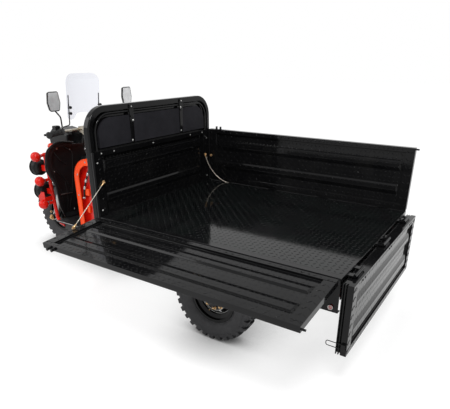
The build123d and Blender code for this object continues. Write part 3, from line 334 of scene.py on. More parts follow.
def lamp(name, place, target, size, power):
    data = bpy.data.lights.new(name, "AREA")
    data.shape = "DISK"
    data.size = size
    data.energy = power
    light = bpy.data.objects.new(name, data)
    light.location = place
    light.rotation_mode = "QUATERNION"
    light.rotation_quaternion = (Vector(target) - Vector(place)).to_track_quat("-Z", "Y")
    scene.collection.objects.link(light)


def make_lamps():
    lamp("key_lamp", (-1.5, 2.5, 4.0), (0.3, 0.0, 0.0), 1.5, 150.0)
    lamp("fill_lamp", (3.5, 3.0, 2.5), (0.9, 0.0, 0.0), 3.0, 60.0)


# ---- Stay cables ----
# The route of the loose right stay, from the headboard's lug to its free end on the floor.
right_cable_route = [
    (0.755, -0.515, 0.203),
    (0.742, -0.517, 0.161),
    (0.722, -0.521, 0.117),
    (0.694, -0.527, 0.077),
    (0.660, -0.534, 0.043),
    (0.625, -0.541, 0.017),
    (0.592, -0.547, 0.0045),
]
cable_r = 0.0025


def make_right_cable(materials):
    curve = bpy.data.curves.new("stay_wire_right", "CURVE")
    curve.dimensions = "3D"
    spline = curve.splines.new("NURBS")
    spline.points.add(len(right_cable_route) - 1)
    for point, place in zip(spline.points, right_cable_route):
        point.co = (*place, 1)
    spline.order_u = 3
    spline.use_endpoint_u = True
    spline.resolution_u = 12
    curve.bevel_depth = cable_r
    curve.bevel_resolution = 3
    cable = bpy.data.objects.new("stay_wire_right", curve)
    scene.collection.objects.link(cable)
    curve.materials.append(materials["wire_rope"])
    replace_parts(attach(cable, "chassis"), "stay_cable_right")


# ---- Forms: meshes built from plain shapes ----
def frame_of(direction):
    """Two unit vectors across a direction."""
    direction = direction.normalized()
    helper = Vector((0, 0, 1)) if abs(direction.z) < 0.9 else Vector((1, 0, 0))
    first = direction.cross(helper).normalized()
    return first, direction.cross(first)


def inset(outline, distance):
    """A closed 2-D outline moved inwards, for one that turns anticlockwise."""
    moved = []
    for before, at, after in zip(outline[-1:] + outline[:-1], outline, outline[1:] + outline[:1]):
        a, b = (Vector(at) - Vector(before)).normalized(), (Vector(after) - Vector(at)).normalized()
        across = Vector((-a.y - b.y, a.x + b.x))
        across = across / max(0.3, across.length_squared / 2)
        moved.append(tuple(Vector(at) + across * distance))
    return moved


def rounded(outline, radius, steps=6):
    """A closed 2-D outline with its corners cut by arcs."""
    points = []
    for before, at, after in zip(outline[-1:] + outline[:-1], outline, outline[1:] + outline[:1]):
        at = Vector(at)
        a, b = (Vector(before) - at), (Vector(after) - at)
        reach = min(radius, 0.48 * a.length, 0.48 * b.length)
        start, end = at + a.normalized() * reach, at + b.normalized() * reach
        for i in range(steps + 1):
            t = i / steps
            points.append(tuple(start * (1 - t) ** 2 + at * 2 * t * (1 - t) + end * t**2))
    return points


class Form:
    """Points and faces gathered from plain shapes."""

    def __init__(self):
        self.points, self.faces = [], []

    def skin(self, rings, capped=True, looped=False):
        """Joins rings of equal length side by side, closing both ends or the whole loop."""
        base, count, total = len(self.points), len(rings[0]), len(rings)
        for ring in rings:
            self.points += [tuple(point) for point in ring]
        for k in range(total if looped else total - 1):
            a, b = base + k * count, base + (k + 1) % total * count
            for i in range(count):
                j = (i + 1) % count
                self.faces.append((a + i, a + j, b + j, b + i))
        if capped and not looped:
            last = base + (total - 1) * count
            self.faces.append(tuple(base + i for i in reversed(range(count))))
            self.faces.append(tuple(last + i for i in range(count)))

    def lathe(self, centre, axis, profile, sides=40, looped=False, start=0.0):
        """Turns radius and height pairs about an axis."""
        centre, axis = Vector(centre), Vector(axis).normalized()
        first, second = frame_of(axis)
        rings = []
        for radius, along in profile:
            ring = []
            for i in range(sides):
                a = start + 2 * pi * i / sides
                ring.append(centre + axis * along + (first * cos(a) + second * sin(a)) * radius)
            rings.append(ring)
        self.skin(rings, looped=looped)

    def tube(self, path, radius, sides=12, looped=False, flat=1.0):
        """A bar along a path, with rounded ends; flat squeezes it across its second axis."""
        path = [Vector(p) for p in path]
        count = len(path)
        rings = []
        across = None
        for i, at in enumerate(path):
            if looped:
                along = (path[(i + 1) % count] - path[i - 1]).normalized()
            else:
                along = (path[min(i + 1, count - 1)] - path[max(i - 1, 0)]).normalized()
            if across is None:
                across = frame_of(along)[0]
            across = (across - along * across.dot(along)).normalized()
            other = along.cross(across)
            places = [(0.0, 1.0)]
            if not looped and i == 0:
                places = [(-radius, 0.25), (-radius * 0.7, 0.72), (0.0, 1.0)]
            if not looped and i == count - 1:
                places = [(0.0, 1.0), (radius * 0.7, 0.72), (radius, 0.25)]
            for shift, scale in places:
                ring = []
                for k in range(sides):
                    a = 2 * pi * k / sides
                    spoke = across * cos(a) + other * sin(a) * flat
                    ring.append(at + along * shift + spoke * radius * scale)
                rings.append(ring)
        self.skin(rings, looped=looped)

    def prism(self, outline, placing, depth, bevel=0.001):
        """An outline raised along its third axis, with a bevelled rim at both ends."""
        small = inset(outline, bevel)
        levels = ((small, 0.0), (outline, bevel), (outline, depth - bevel), (small, depth))
        self.skin([[placing @ Vector((u, v, n)) for u, v in ring] for ring, n in levels])

    def block(self, low, high, bevel=0.001):
        """A bevelled block between two corners."""
        (x0, y0, z0), (x1, y1, z1) = low, high
        outline = [(x0, y0), (x1, y0), (x1, y1), (x0, y1)]
        self.prism(outline, Matrix.Translation((0, 0, z0)), z1 - z0, bevel)

    def nut(self, centre, axis, radius, high, domed=True):
        """A washer, a chamfered hexagon and, where domed, its acorn cap."""
        self.lathe(centre, axis, [(radius * 1.35, 0), (radius * 1.35, high * 0.12), (radius, high * 0.14)], 24)
        wide = [(radius * 0.9, high * 0.1), (radius, high * 0.2)]
        wide += [(radius, high * 0.62), (radius * 0.86, high * 0.72)]
        self.lathe(centre, axis, wide, 6)
        if domed:
            cap = [(radius * 0.78, high * 0.7), (radius * 0.76, high * 0.86)]
            cap += [(radius * 0.55, high * 1.1), (radius * 0.2, high * 1.2)]
            self.lathe(centre, axis, cap, 20)
        else:
            stud = [(radius * 0.5, high * 0.7), (radius * 0.5, high * 1.1), (radius * 0.4, high * 1.18)]
            self.lathe(centre, axis, stud, 16)

    def screw(self, centre, axis, radius, high):
        """A pan-headed screw with a washer."""
        head = [(radius * 1.3, 0), (radius * 1.3, high * 0.15), (radius, high * 0.18), (radius, high * 0.55)]
        head += [(radius * 0.8, high * 0.85), (radius * 0.35, high), (radius * 0.3, high * 0.7)]
        self.lathe(centre, axis, head, 20)


def bead(radius, along, thick, sides=8):
    """The round profile of a ring, for a looped lathe."""
    turns = (2 * pi * k / sides for k in range(sides))
    return [(radius + thick * cos(a), along + thick * sin(a)) for a in turns]


def make(name, form, body, finish, angle=32.0):
    """Turns a form into a piece that rides on a body, in the given finish."""
    mesh = bpy.data.meshes.new(name)
    mesh.from_pydata(form.points, [], form.faces)
    mesh.validate()
    mesh.shade_smooth()
    mesh.set_sharp_from_angle(angle=radians(angle))
    mesh.materials.append(materials[finish])
    piece = bpy.data.objects.new(name, mesh)
    scene.collection.objects.link(piece)
    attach(piece, body)
    return piece if finish in slots else piece


def placing(u, v, n, origin):
    """The frame whose three axes and origin are given."""
    return Matrix((*zip(u, v, n, origin), (0, 0, 0, 1)))


def turned_about(point, axis, degrees):
    """A turn about an axis through a point."""
    turn = Matrix.Rotation(radians(degrees), 4, axis)
    return Matrix.Translation(point) @ turn @ Matrix.Translation(-Vector(point))


# ---- Tread plate ----
left_open = turned_about((0, 0.588, -0.008), "X", -95)
tail_open = turned_about((-0.786, 0, -0.008), "Y", -180)
# Panel frames: along the panel, up from its hinge edge, and out of its inner face.
left_panel = left_open @ placing((1, 0, 0), (0, 0, 1), (0, -1, 0), (0, 0.569, 0.005))
right_panel = placing((-1, 0, 0), (0, 0, 1), (0, 1, 0), (0, -0.569, 0.005))
tail_panel = tail_open @ placing((0, 1, 0), (0, 0, 1), (1, 0, 0), (-0.760, 0, 0.005))
head_panel = placing((0, -1, 0), (0, 0, 1), (-1, 0, 0), (0.779, 0, 0))
floor_plate = placing((1, 0, 0), (0, 1, 0), (0, 0, 1), (0, 0, 0))
panel_ribs = ((0.085, 0.150, 0.028, 0.010), (0.232, 0.303, 0.027, 0.005))
head_ribs = ((0.060, 0.125, 0.028, 0.010), (0.248, 0.330, 0.027, 0.008))
rib_proud = 0.008
rib_end = 0.012
sheet_recess = 0.013
post_wide = 0.055
side_half, side_high = 0.748, 0.383
tail_half, tail_high = 0.575, 0.362


def rib_rise(ribs, half_long):
    """How far the pressed sheet stands out at a place."""

    def rise(u, v):
        for start, end, near, far in ribs:
            if start < v < end:
                across = min((v - start) / near, (end - v) / far, 1.0)
                return rib_proud * max(0.0, min(across, (half_long - abs(u)) / rib_end, 1.0))
        return 0.0

    return rise


def lozenge(form, place, u, v, slope, length, width, high, level):
    """One raised lozenge that follows the sheet under it."""
    c, s = cos(slope), sin(slope)
    rings = []
    for along, across, out in ((1.0, 1.0, -0.0002), (0.86, 0.66, 0.8 * high), (0.6, 0.3, high)):
        ring = []
        for k in range(8):
            a = 2 * pi * k / 8
            x, y = length * along * cos(a), width * across * sin(a)
            at_u, at_v = u + x * c - y * s, v + x * s + y * c
            ring.append(place @ Vector((at_u, at_v, level(at_u, at_v) + out)))
        rings.append(ring)
    form.skin(rings)


def tread(form, place, us, vs, level=lambda u, v: 0.0, pitch=0.028, length=0.0105, width=0.0032, high=0.0012):
    """A field of lozenges, alternately turned, between two places along and two across."""
    across, up = max(1, round((us[1] - us[0]) / pitch)), max(1, round((vs[1] - vs[0]) / pitch))
    step_u, step_v = (us[1] - us[0]) / across, (vs[1] - vs[0]) / up
    for i in range(across):
        for j in range(up):
            slope = radians(45 if (i + j) % 2 else -45)
            u, v = us[0] + (i + 0.5) * step_u, vs[0] + (j + 0.5) * step_v
            lozenge(form, place, u, v, slope, length, width, high, level)


def creases(form, place, ribs, half_long, back):
    """The rounded creases along a rib's crest and foot."""
    for start, end, near, far in ribs:
        for v, n, half, r in (
            (start, 0.0, half_long, 0.0012),
            (start + near, rib_proud, half_long - rib_end, 0.0014),
            (end - far, rib_proud, half_long - rib_end, 0.0014),
            (end, 0.0, half_long, 0.0012),
        ):
            path = [place @ Vector((-half + 2 * half * i / 60, v, back + n - 0.55 * r)) for i in range(61)]
            form.tube(path, r, 6)
        for end_side in (-1, 1):
            foot, crest = end_side * half_long, end_side * (half_long - rib_end)
            corners = [(crest, start + near, rib_proud), (crest, end - far, rib_proud)]
            form.tube([place @ Vector((u, v, back + n - 0.0008)) for u, v, n in corners], 0.0014, 6)
            for v_foot, v_crest in ((start, start + near), (end, end - far)):
                corners = [(foot, v_foot, back - 0.0008), (crest, v_crest, back + 0.0072)]
                form.tube([place @ Vector(corner) for corner in corners], 0.0012, 6)


def panel_tread(name, body, place, half, high, relief):
    """The tread of one hinged panel: its pressed sheet, two rails and two end posts."""
    form = Form()
    inside = half - post_wide
    rise = rib_rise(panel_ribs, inside - 0.015)
    field = (-inside + 0.006, inside - 0.006), (0.034, high - 0.034)
    tread(form, place, *field, lambda u, v: rise(u, v) - sheet_recess, high=relief)
    creases(form, place, panel_ribs, inside - 0.015, -sheet_recess)
    for low in (0.004, high - 0.025):
        tread(form, place, (-half + 0.06, half - 0.06), (low, low + 0.021), high=0.0011)
    rows = 8
    for end in (-1, 1):
        for i in range(rows):
            v = high * (i + 0.5) / rows
            for column in (-1, 1):
                slope = radians(45 if column > 0 else -45)
                u = end * (half - 0.0275) + column * 0.0125
                lozenge(form, place, u, v, slope, 0.0125, 0.004, 0.0018, lambda u, v: 0.0)
    make(name, form, body, "gloss_black_paint")


def make_tread():
    form = Form()
    tread(form, floor_plate, (-0.742, 0.742), (-0.53, 0.53))
    make("floor_tread", form, "chassis", "floor_paint")
    panel_tread("left_side_tread", "left_side", left_panel, side_half, side_high, 0.0007)
    panel_tread("right_side_tread", "right_side", right_panel, side_half, side_high, 0.0008)
    panel_tread("tailgate_tread", "tailgate", tail_panel, tail_half, tail_high, 0.0005)
    form = Form()
    rise = rib_rise(head_ribs, 0.486)
    tread(form, head_panel, (-0.492, 0.492), (0.012, 0.348), rise, high=0.0006)
    creases(form, head_panel, head_ribs, 0.486, 0.0)
    for side in (-1, 1):
        post = placing((0, -1, 0), (0, 0, 1), (-1, 0, 0), (0.759, side * 0.526, 0))
        for i in range(12):
            v = 0.355 * (i + 0.5) / 12
            slope = radians(45 if i % 2 else -45)
            lozenge(form, post, 0, v, slope, 0.0112, 0.0036, 0.0016, lambda u, v: 0.0)
    make("headboard_tread", form, "chassis", "gloss_black_paint")


# ---- Wheels ----
wheels = {
    "rear_tyre_left": ((-0.045, 0.505, -0.33), 0.059, "rear_wheel_left"),
    "rear_tyre_right": ((-0.045, -0.505, -0.33), 0.059, "rear_wheel_right"),
    "front_tyre": ((1.868, 0.0, -0.33), 0.052, "front_wheel"),
}
bead_half = 0.037
# One sidewall of a tyre from its bead to the middle of its tread: radius, and share of the half width.
sidewall = [
    (0.1290, 0.0),
    (0.1395, 0.01),
    (0.1420, 0.14),
    (0.1448, 0.25),
    (0.1458, 0.20),
    (0.1500, 0.42),
    (0.1600, 0.64),
    (0.1760, 0.88),
    (0.1900, 0.97),
    (0.2030, 0.985),
    (0.2040, 1.03),
    (0.2062, 1.03),
    (0.2072, 0.975),
    (0.2180, 0.93),
    (0.2260, 0.72),
    (0.2320, 0.38),
    (0.2340, 0.0),
    (0.2345, -0.9),
]


def lug_block(form, centre, angle, section, half_long, rim=0.0016):
    """A tread block whose section of radius and sideways pairs runs along the tyre's turn."""
    out, turn = Vector((cos(angle), 0, sin(angle))), Vector((-sin(angle), 0, cos(angle)))
    small = inset(section, rim)
    rings = []
    ends = ((small, -half_long), (section, rim - half_long), (section, half_long - rim), (small, half_long))
    for outline, along in ends:
        rings.append([centre + out * r + Vector((0, y, 0)) + turn * along for r, y in outline])
    form.skin(rings)


def tyre_form(centre, half):
    form = Form()
    centre = Vector(centre)
    side = [(r, bead_half + (half - bead_half) * share) for r, share in sidewall]
    profile = [(r, -y) for r, y in side] + side[::-1]
    form.lathe(centre, (0, 1, 0), profile, 120, looped=True)
    for i in range(30):
        angle = radians(12 * i + 6)
        for which in (-1, 1):
            inner = 0.40 if (i + (which > 0)) % 2 else 0.50
            section = [(0.212, 0.975), (0.236, 1.0), (0.242, 0.92)]
            section += [(0.2448, 0.74), (0.2448, inner), (0.231, inner)]
            outline = [(r, which * share * half) for r, share in section]
            if which > 0:
                outline.reverse()
            lug_block(form, centre, angle, outline, 0.0132)
            # A low rib runs down the sidewall from every other lug.
            if i % 2:
                rib = [(0.1965, 0.955), (0.1965, 0.99), (0.2135, 1.0), (0.2135, 0.94)]
                rib = [(r, which * share * half) for r, share in rib]
                if which < 0:
                    rib.reverse()
                lug_block(form, centre, angle, rib, 0.0075, 0.0008)
        shift = 0.10 if i % 2 else -0.10
        middle = [(0.231, shift - 0.26), (0.231, shift + 0.26), (0.2446, shift + 0.24), (0.2446, shift - 0.24)]
        lug_block(form, centre, radians(12 * i), [(r, share * half) for r, share in middle], 0.0105)
    return form


def make_tyres():
    for node, (centre, half, body) in wheels.items():
        piece = make(f"{node}_tread", tyre_form(centre, half), body, "tyre_rubber", 28)
        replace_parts(piece, node)


def make_wheel_trim():
    """Rim lips, welds, brass nuts, hub caps and valves."""
    for node, (centre, _, body) in wheels.items():
        face = -1 if node.endswith("right") else 1
        out = Vector((0, face, 0))
        centre = Vector(centre)
        lips, silver, brass, caps = Form(), Form(), Form(), Form()
        for which in (-1, 1):
            at = centre + Vector((0, which * 0.0395, 0))
            lips.lathe(at, (0, 1, 0), bead(0.1365, 0.0, 0.0028), 96, looped=True)
        # The weld where the disc meets the rim's barrel.
        silver.lathe(centre + out * 0.0035, out, bead(0.0985, 0.0, 0.0016), 96, looped=True)
        # A turned step round the nuts.
        step = [(0.0738, 0.0212), (0.0738, 0.0232), (0.0702, 0.0238), (0.0695, 0.0212)]
        silver.lathe(centre, out, step, 72)
        for i in range(8):
            a = radians(45 * i)
            spot = centre + Vector((cos(a), 0, sin(a))) * 0.058 + out * 0.0222
            brass.nut(spot, out, 0.0101, 0.0128)
        # The hub's dust cap, with a grease nipple, and the tyre's valve.
        cap = [(0.0385, 0), (0.0385, 0.003), (0.0350, 0.0052), (0.0300, 0.0058), (0.0290, 0.0100)]
        cap += [(0.0240, 0.0128), (0.0120, 0.0140), (0.0045, 0.0142)]
        caps.lathe(centre + out * 0.0448, out, cap, 48)
        a = radians(-70)
        valve = centre + Vector((cos(a), 0, sin(a))) * 0.0835
        caps.lathe(valve + out * 0.004, out, [(0.0042, 0), (0.0042, 0.012), (0.0030, 0.0135)], 16)
        valve_cap = [(0.0032, 0), (0.0036, 0.002), (0.0036, 0.011), (0.0022, 0.0135)]
        brass.lathe(valve + out * 0.0165, out, valve_cap, 16)
        for form, kind, finish in (
            (lips, "lips", "gloss_black_paint"),
            (silver, "weld", "steel_parts"),
            (brass, "nuts", "brass"),
            (caps, "hub_cap", "cast_axle"),
        ):
            make(f"{body}_{kind}", form, body, finish, 30)
        disc_beads(centre, out, body)


def disc_beads(centre, out, body):
    """Stiffening beads that run outwards on the disc, in line with its nuts."""
    form = Form()
    for i in range(8):
        a = radians(45 * i)
        spoke = Vector((cos(a), 0, sin(a)))
        radii = (0.076, 0.081, 0.086, 0.091)
        path = [centre + spoke * r + out * (0.0218 - (r - 0.074) * 0.62 + 0.0004) for r in radii]
        form.tube(path, 0.0032, 10)
    make(f"{body}_beads", form, body, "gloss_black_paint", 40)


# ---- Cushions ----
def cushion(name, node, held, most, away, pressure, voxel=0.007):
    """A pad blown up by the cloth solver from the plain block, held along its base and its seams."""
    mesh = nodes[node].data.copy()
    piece = bpy.data.objects.new(name, mesh)
    scene.collection.objects.link(piece)
    remesh = piece.modifiers.new("grid", "REMESH")
    remesh.mode = "VOXEL"
    remesh.voxel_size = voxel
    graph = bpy.context.evaluated_depsgraph_get()
    grid = bpy.data.meshes.new_from_object(piece.evaluated_get(graph))
    piece.modifiers.remove(remesh)
    piece.data = grid
    before = [v.co.copy() for v in grid.vertices]
    group = piece.vertex_groups.new(name="held")
    for v in grid.vertices:
        if held(v.co):
            group.add([v.index], 1.0, "REPLACE")
    cloth = piece.modifiers.new("cloth", "CLOTH")
    settings = cloth.settings
    settings.quality = 6
    settings.mass = 0.25
    settings.tension_stiffness = 12.0
    settings.compression_stiffness = 12.0
    settings.shear_stiffness = 6.0
    settings.bending_stiffness = 0.6
    settings.use_pressure = True
    settings.uniform_pressure_force = pressure
    settings.vertex_group_mass = "held"
    settings.effector_weights.gravity = 0.0
    cloth.point_cache.frame_start = 1
    cloth.point_cache.frame_end = 20
    for frame_number in range(1, 21):
        scene.frame_set(frame_number)
    graph = bpy.context.evaluated_depsgraph_get()
    blown = bpy.data.meshes.new_from_object(piece.evaluated_get(graph))
    piece.modifiers.remove(cloth)
    for v, start in zip(blown.vertices, before):
        step = v.co - start
        if step.length > most:
            step *= most / step.length
        # Nothing sinks through what the pad lies on.
        if step.dot(away) < 0:
            step -= away * step.dot(away)
        v.co = start + step
    piece.data = blown
    scene.frame_set(1)
    finer = piece.modifiers.new("finer", "SUBSURF")
    finer.levels = 1
    graph = bpy.context.evaluated_depsgraph_get()
    final = bpy.data.meshes.new_from_object(piece.evaluated_get(graph))
    piece.modifiers.clear()
    piece.data = final
    final.materials.clear()
    final.materials.append(materials["seat_leather"])
    final.shade_smooth()
    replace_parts(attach(piece, "chassis"), node)
    return piece


def ring_path(outline, place):
    return [place @ Vector((u, v, 0)) for u, v in outline]


def make_cushions():
    low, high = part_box("seat_cushion")
    stitches = (0.945, 1.037, 1.129)

    def seat_held(co):
        if co.z < low.z + 0.010:
            return True
        rim = max(abs(co.y) - high.y + 0.007, low.x + 0.007 - co.x, co.x - high.x + 0.007)
        if co.z > high.z - 0.009 and rim > 0:
            return True
        if co.z > high.z - 0.009 and abs(co.y) < high.y - 0.075:
            return any(abs(co.x - at) < 0.005 for at in stitches)
        return abs(co.z - (low.z + high.z) / 2) < 0.0045

    seat = cushion("seat_pad", "seat_cushion", seat_held, 0.024, Vector((0, 0, 1)), 4.0)
    outline = rounded([(low.x, low.y), (high.x, low.y), (high.x, high.y), (low.x, high.y)], 0.05, 10)
    piping = Form()
    for z in (high.z - 0.003, (low.z + high.z) / 2, low.z + 0.004):
        small = inset(outline, -0.0005 if z < high.z - 0.01 else 0.0035)
        piping.tube(ring_path(small, Matrix.Translation((0, 0, z))), 0.0034, 8, looped=True)
    for at in stitches:
        for shift in (-0.004, 0.004):
            steps = [-high.y + 0.08 + i * (2 * high.y - 0.16) / 24 for i in range(25)]
            piping.tube([(at + shift, y, high.z + 0.0012) for y in steps], 0.0012, 6)
    make("seat_piping", piping, "chassis", "seat_leather", 50)

    low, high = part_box("backrest_pad")
    middle = (low.z + high.z) / 2

    def back_held(co):
        if co.x < low.x + 0.010:
            return True
        rim = max(abs(co.y) - high.y + 0.007, low.z + 0.007 - co.z, co.z - high.z + 0.007)
        if co.x > high.x - 0.009 and rim > 0:
            return True
        return co.x > high.x - 0.009 and abs(co.z - middle) < 0.005 and abs(co.y) < high.y - 0.05

    back = cushion("backrest_cushion", "backrest_pad", back_held, 0.020, Vector((1, 0, 0)), 4.0)
    outline = rounded([(low.y, low.z), (high.y, low.z), (high.y, high.z), (low.y, high.z)], 0.04, 10)
    face = placing((0, 1, 0), (0, 0, 1), (1, 0, 0), (high.x - 0.003, 0, 0))
    piping = Form()
    piping.tube(ring_path(inset(outline, 0.0035), face), 0.0034, 8, looped=True)
    for shift in (-0.004, 0.004):
        steps = [-high.y + 0.055 + i * (2 * high.y - 0.11) / 24 for i in range(25)]
        piping.tube([(high.x + 0.0012, y, middle + shift) for y in steps], 0.0012, 6)
    make("backrest_piping", piping, "chassis", "seat_leather", 50)


# ---- Headboard and bed trim ----
def make_headboard_trim():
    bolts, clips, brass, nubs = Form(), Form(), Form(), Form()
    back = (-1, 0, 0)
    for y, z in ((0.232, 0.529), (0.247, 0.412), (-0.235, 0.569), (-0.232, 0.414)):
        bolts.screw((0.7532, y, z), back, 0.0058, 0.0048)
    for side in (-1, 1):
        # Turned-over strap ends, and buckles where the straps pass the hoop.
        y = side * 0.240
        nubs.block((0.7505, y - 0.014, 0.600), (0.7545, y + 0.014, 0.622), 0.0012)
        nubs.block((0.7490, y - 0.011, 0.548), (0.7535, y + 0.011, 0.560), 0.0012)
        bolts.screw((0.7505, y, 0.611), back, 0.0042, 0.0035)
    for y, z in ((0.508, 0.370), (0.408, 0.370), (0.060, 0.370), (-0.336, 0.370), (-0.480, 0.370)):
        clips.block((0.7545, y - 0.009, z - 0.012), (0.7595, y + 0.009, z + 0.017), 0.0012)
        bolts.screw((0.7547, y, z), back, 0.0042, 0.0034)
    for side in (-1, 1):
        # Brass eyes that carry the stay cables.
        y = side * 0.515
        eye = [(0.0112, -0.002), (0.0112, 0.0015), (0.0085, 0.003), (0.0085, 0.0046)]
        brass.lathe((0.7552, y, 0.203), back, eye, 28)
        brass.nut((0.7508, y, 0.203), back, 0.0062, 0.0075)
        for z in (0.035, 0.175, 0.320):
            bolts.screw((0.7588, side * 0.541, z), back, 0.0048, 0.0038)
    # The uneven welded seams down the sheet beside its two posts.
    for y, wave in ((-0.480, 2.1), (0.480, 2.3)):
        seam = [(0.7785, y + 0.0006 * sin(i * wave), 0.03 + i * 0.323 / 40) for i in range(41)]
        clips.tube(seam, 0.0032, 8)
    # Black strips fill the slots beside the floor and at the headboard's posts, as painted shade where the gaps
    # would show the white floor.
    gap_shade_strips = Form()
    for side in (-1, 1):
        y0, y1 = sorted((side * 0.5752, side * 0.5782))
        gap_shade_strips.block((-0.747, y0, -0.030), (0.747, y1, 0.0040), 0.0008)
        y0, y1 = sorted((side * 0.5700, side * 0.5830))
        gap_shade_strips.block((0.7500, y0, -0.030), (0.7592, y1, 0.385), 0.0012)
    make("bed_gap_shade_strips", gap_shade_strips, "chassis", "black_plastic")
    make("headboard_bolts", bolts, "chassis", "steel_parts")
    make("headboard_clips", clips, "chassis", "gloss_black_paint")
    make("stay_eyes", brass, "chassis", "brass")
    make("strap_ends", nubs, "chassis", "gloss_black_paint")


def stay_stud(form, stud, out):
    """The brass block and nut at a stud."""
    seat = [(0.0105, 0), (0.0105, 0.0055), (0.0088, 0.0065), (0.0088, 0.0095)]
    form.lathe(stud - out * 0.004, out, seat, 28)
    form.nut(stud + out * 0.004, out, 0.0060, 0.0072)


def make_stay_ends():
    top, hook = Vector((0.7525, 0.515, 0.203)), Vector((0.733, 0.7876, 0.0016))
    along = (hook - top).normalized()
    ferrule = [(0.0036, 0), (0.0058, 0.002), (0.0066, 0.008), (0.0058, 0.018), (0.0040, 0.024), (0.0030, 0.030)]
    form = Form()
    form.lathe(top - along * 0.001, along, ferrule, 24)
    make("stay_ferrule_left_top", form, "chassis", "brass")
    form = Form()
    form.lathe(hook - along * 0.0005, -along, ferrule, 24)
    # The brass block that holds the lower end, on the drop side's stud.
    stay_stud(form, left_panel @ Vector((0.733, 0.185, 0.0075)), left_panel.to_3x3() @ Vector((0, 0, 1)))
    make("stay_ferrule_left_low", form, "left_side", "brass")
    first, second = Vector(right_cable_route[0]), Vector(right_cable_route[1])
    form = Form()
    form.lathe(first + Vector((0.002, 0, 0)), second - first, ferrule, 24)
    form_side = Form()
    stay_stud(form_side, right_panel @ Vector((-0.733, 0.185, 0.0075)), Vector((0, 1, 0)))
    make("stay_ferrule_right_top", form, "chassis", "brass")
    make("stay_stud_right", form_side, "right_side", "brass")


def make_panel_trim():
    """Hinge screws and nuts, welds, and the collars and caps of the latch knobs."""
    for body, place, half, high, hinges in (
        ("left_side", left_panel, side_half, side_high, (-0.6, -0.2, 0.2, 0.6)),
        ("right_side", right_panel, side_half, side_high, (-0.6, -0.2, 0.2, 0.6)),
        ("tailgate", tail_panel, tail_half, tail_high, (-0.44, 0.0, 0.44)),
    ):
        out = place.to_3x3() @ Vector((0, 0, 1))
        thick = 0.052 if body == "tailgate" else 0.030
        screws, welds = Form(), Form()
        for at in hinges:
            for shift in (-0.018, 0.018):
                spot = place @ Vector((at + shift, 0.0145, 0.0))
                screws.screw(spot, out, 0.0042, 0.0034)
                spot = place @ Vector((at + shift, 0.0145, -thick))
                screws.nut(spot, -out, 0.0040, 0.0048, domed=False)
        inside = half - post_wide
        for end in (-1, 1):
            # Corner welds between rail and post.
            for low in (0.029, high - 0.029):
                us = [end * (inside + 0.002 + 0.052 * i / 12) for i in range(13)]
                welds.tube([place @ Vector((u, low, 0.0003)) for u in us], 0.0011, 6)
            path = [place @ Vector((end * inside, 0.031 + i * (high - 0.062) / 30, -0.0122)) for i in range(31)]
            welds.tube(path, 0.0024, 6)
        for v in (0.0305, high - 0.0305):
            path = [place @ Vector((-inside + i * 2 * inside / 40, v, -0.0122)) for i in range(41)]
            welds.tube(path, 0.0024, 6)
        make(f"{body}_screws", screws, body, "gloss_black_paint")
        make(f"{body}_welds", welds, body, "gloss_black_paint")
    for body, place, sign in (("left_side", left_panel, 1), ("right_side", right_panel, -1)):
        knobs = Form()
        up = place.to_3x3() @ Vector((0, 1, 0))
        for x in (0.698, 0.663):
            spot = place @ Vector((sign * x, side_high, -0.022))
            collar = [(0.0092, -0.001), (0.0092, 0.0022), (0.0078, 0.0030)]
            knobs.lathe(spot, up, collar, 28)
            cap = [(0.0074, 0.0125), (0.0082, 0.0135), (0.0082, 0.0165), (0.0070, 0.0180), (0.0025, 0.0186)]
            knobs.lathe(spot, up, cap, 28)
        make(f"{body}_knob_caps", knobs, body, "satin_black_paint")


def make_rear_trim():
    lamps, lens, screws, glow = Form(), Form(), Form(), Form()
    for side in (-1, 1):
        y0, y1 = sorted((side * 0.430, side * 0.540))
        # A bezel round each tail lamp, and flutes on its lens.
        middle, half_w, half_h = (y0 + y1) / 2, 0.0575, 0.0325
        corners = [(-half_w, -half_h), (half_w, -half_h), (half_w, half_h), (-half_w, half_h)]
        outline = rounded(corners, 0.006, 5)
        place = placing((0, -1, 0), (0, 0, 1), (-1, 0, 0), (-0.7535, middle, -0.077))
        lamps.tube(ring_path(outline, place), 0.0026, 8, looped=True)
        for i in range(18):
            y = y0 + 0.006 + i * (y1 - y0 - 0.012) / 17
            lens.tube([(-0.7532, y, -0.100), (-0.7532, y, -0.054)], 0.0016, 8)
        for z in (-0.098, -0.056):
            for y in (y0 + 0.005, y1 - 0.005):
                screws.screw((-0.7540, y, z), (-1, 0, 0), 0.0024, 0.0020)
        # The reflector's prisms in their metal ring.
        hub = Vector((-0.716, side * 0.580, -0.148))
        out = Vector((0, side, 0))
        ring = [(0.0112, -0.004), (0.0124, -0.002), (0.0124, 0.0004), (0.0112, 0.0010), (0.0104, 0.0002)]
        screws.lathe(hub, out, ring, 36)
        for row in range(-3, 4):
            for column in range(-3, 4):
                u, v = (column + 0.5 * (row % 2)) * 0.0030, row * 0.0026
                if u * u + v * v < 0.0000846:
                    prism = [(0.0015, -0.0005), (0.0015, 0.0002), (0.0002, 0.0009)]
                    glow.lathe(hub + Vector((u, 0, v)), out, prism, 6)
    make("tail_lamp_bezels", lamps, "chassis", "satin_black_paint")
    make("tail_lamp_flutes", lens, "chassis", "red_lens")
    make("lamp_screws", screws, "chassis", "steel_parts")
    make("reflector_prisms", glow, "chassis", "red_lens")
    # Bolts and welds along the bed's edge rails, and the U-bolts' nuts under the springs.
    bolts = Form()
    for side in (-1, 1):
        for x in (-0.66, -0.4, -0.13, 0.13, 0.4, 0.66):
            bolts.nut((x, side * 0.5752, -0.023), (0, side, 0), 0.0062, 0.0070, domed=False)
        for x in (-0.084, -0.006):
            for y in (0.20, 0.26):
                bolts.nut((x, side * y, -0.3675), (0, 0, -1), 0.0078, 0.0095, domed=False)
    make("frame_bolts", bolts, "chassis", "steel_parts")


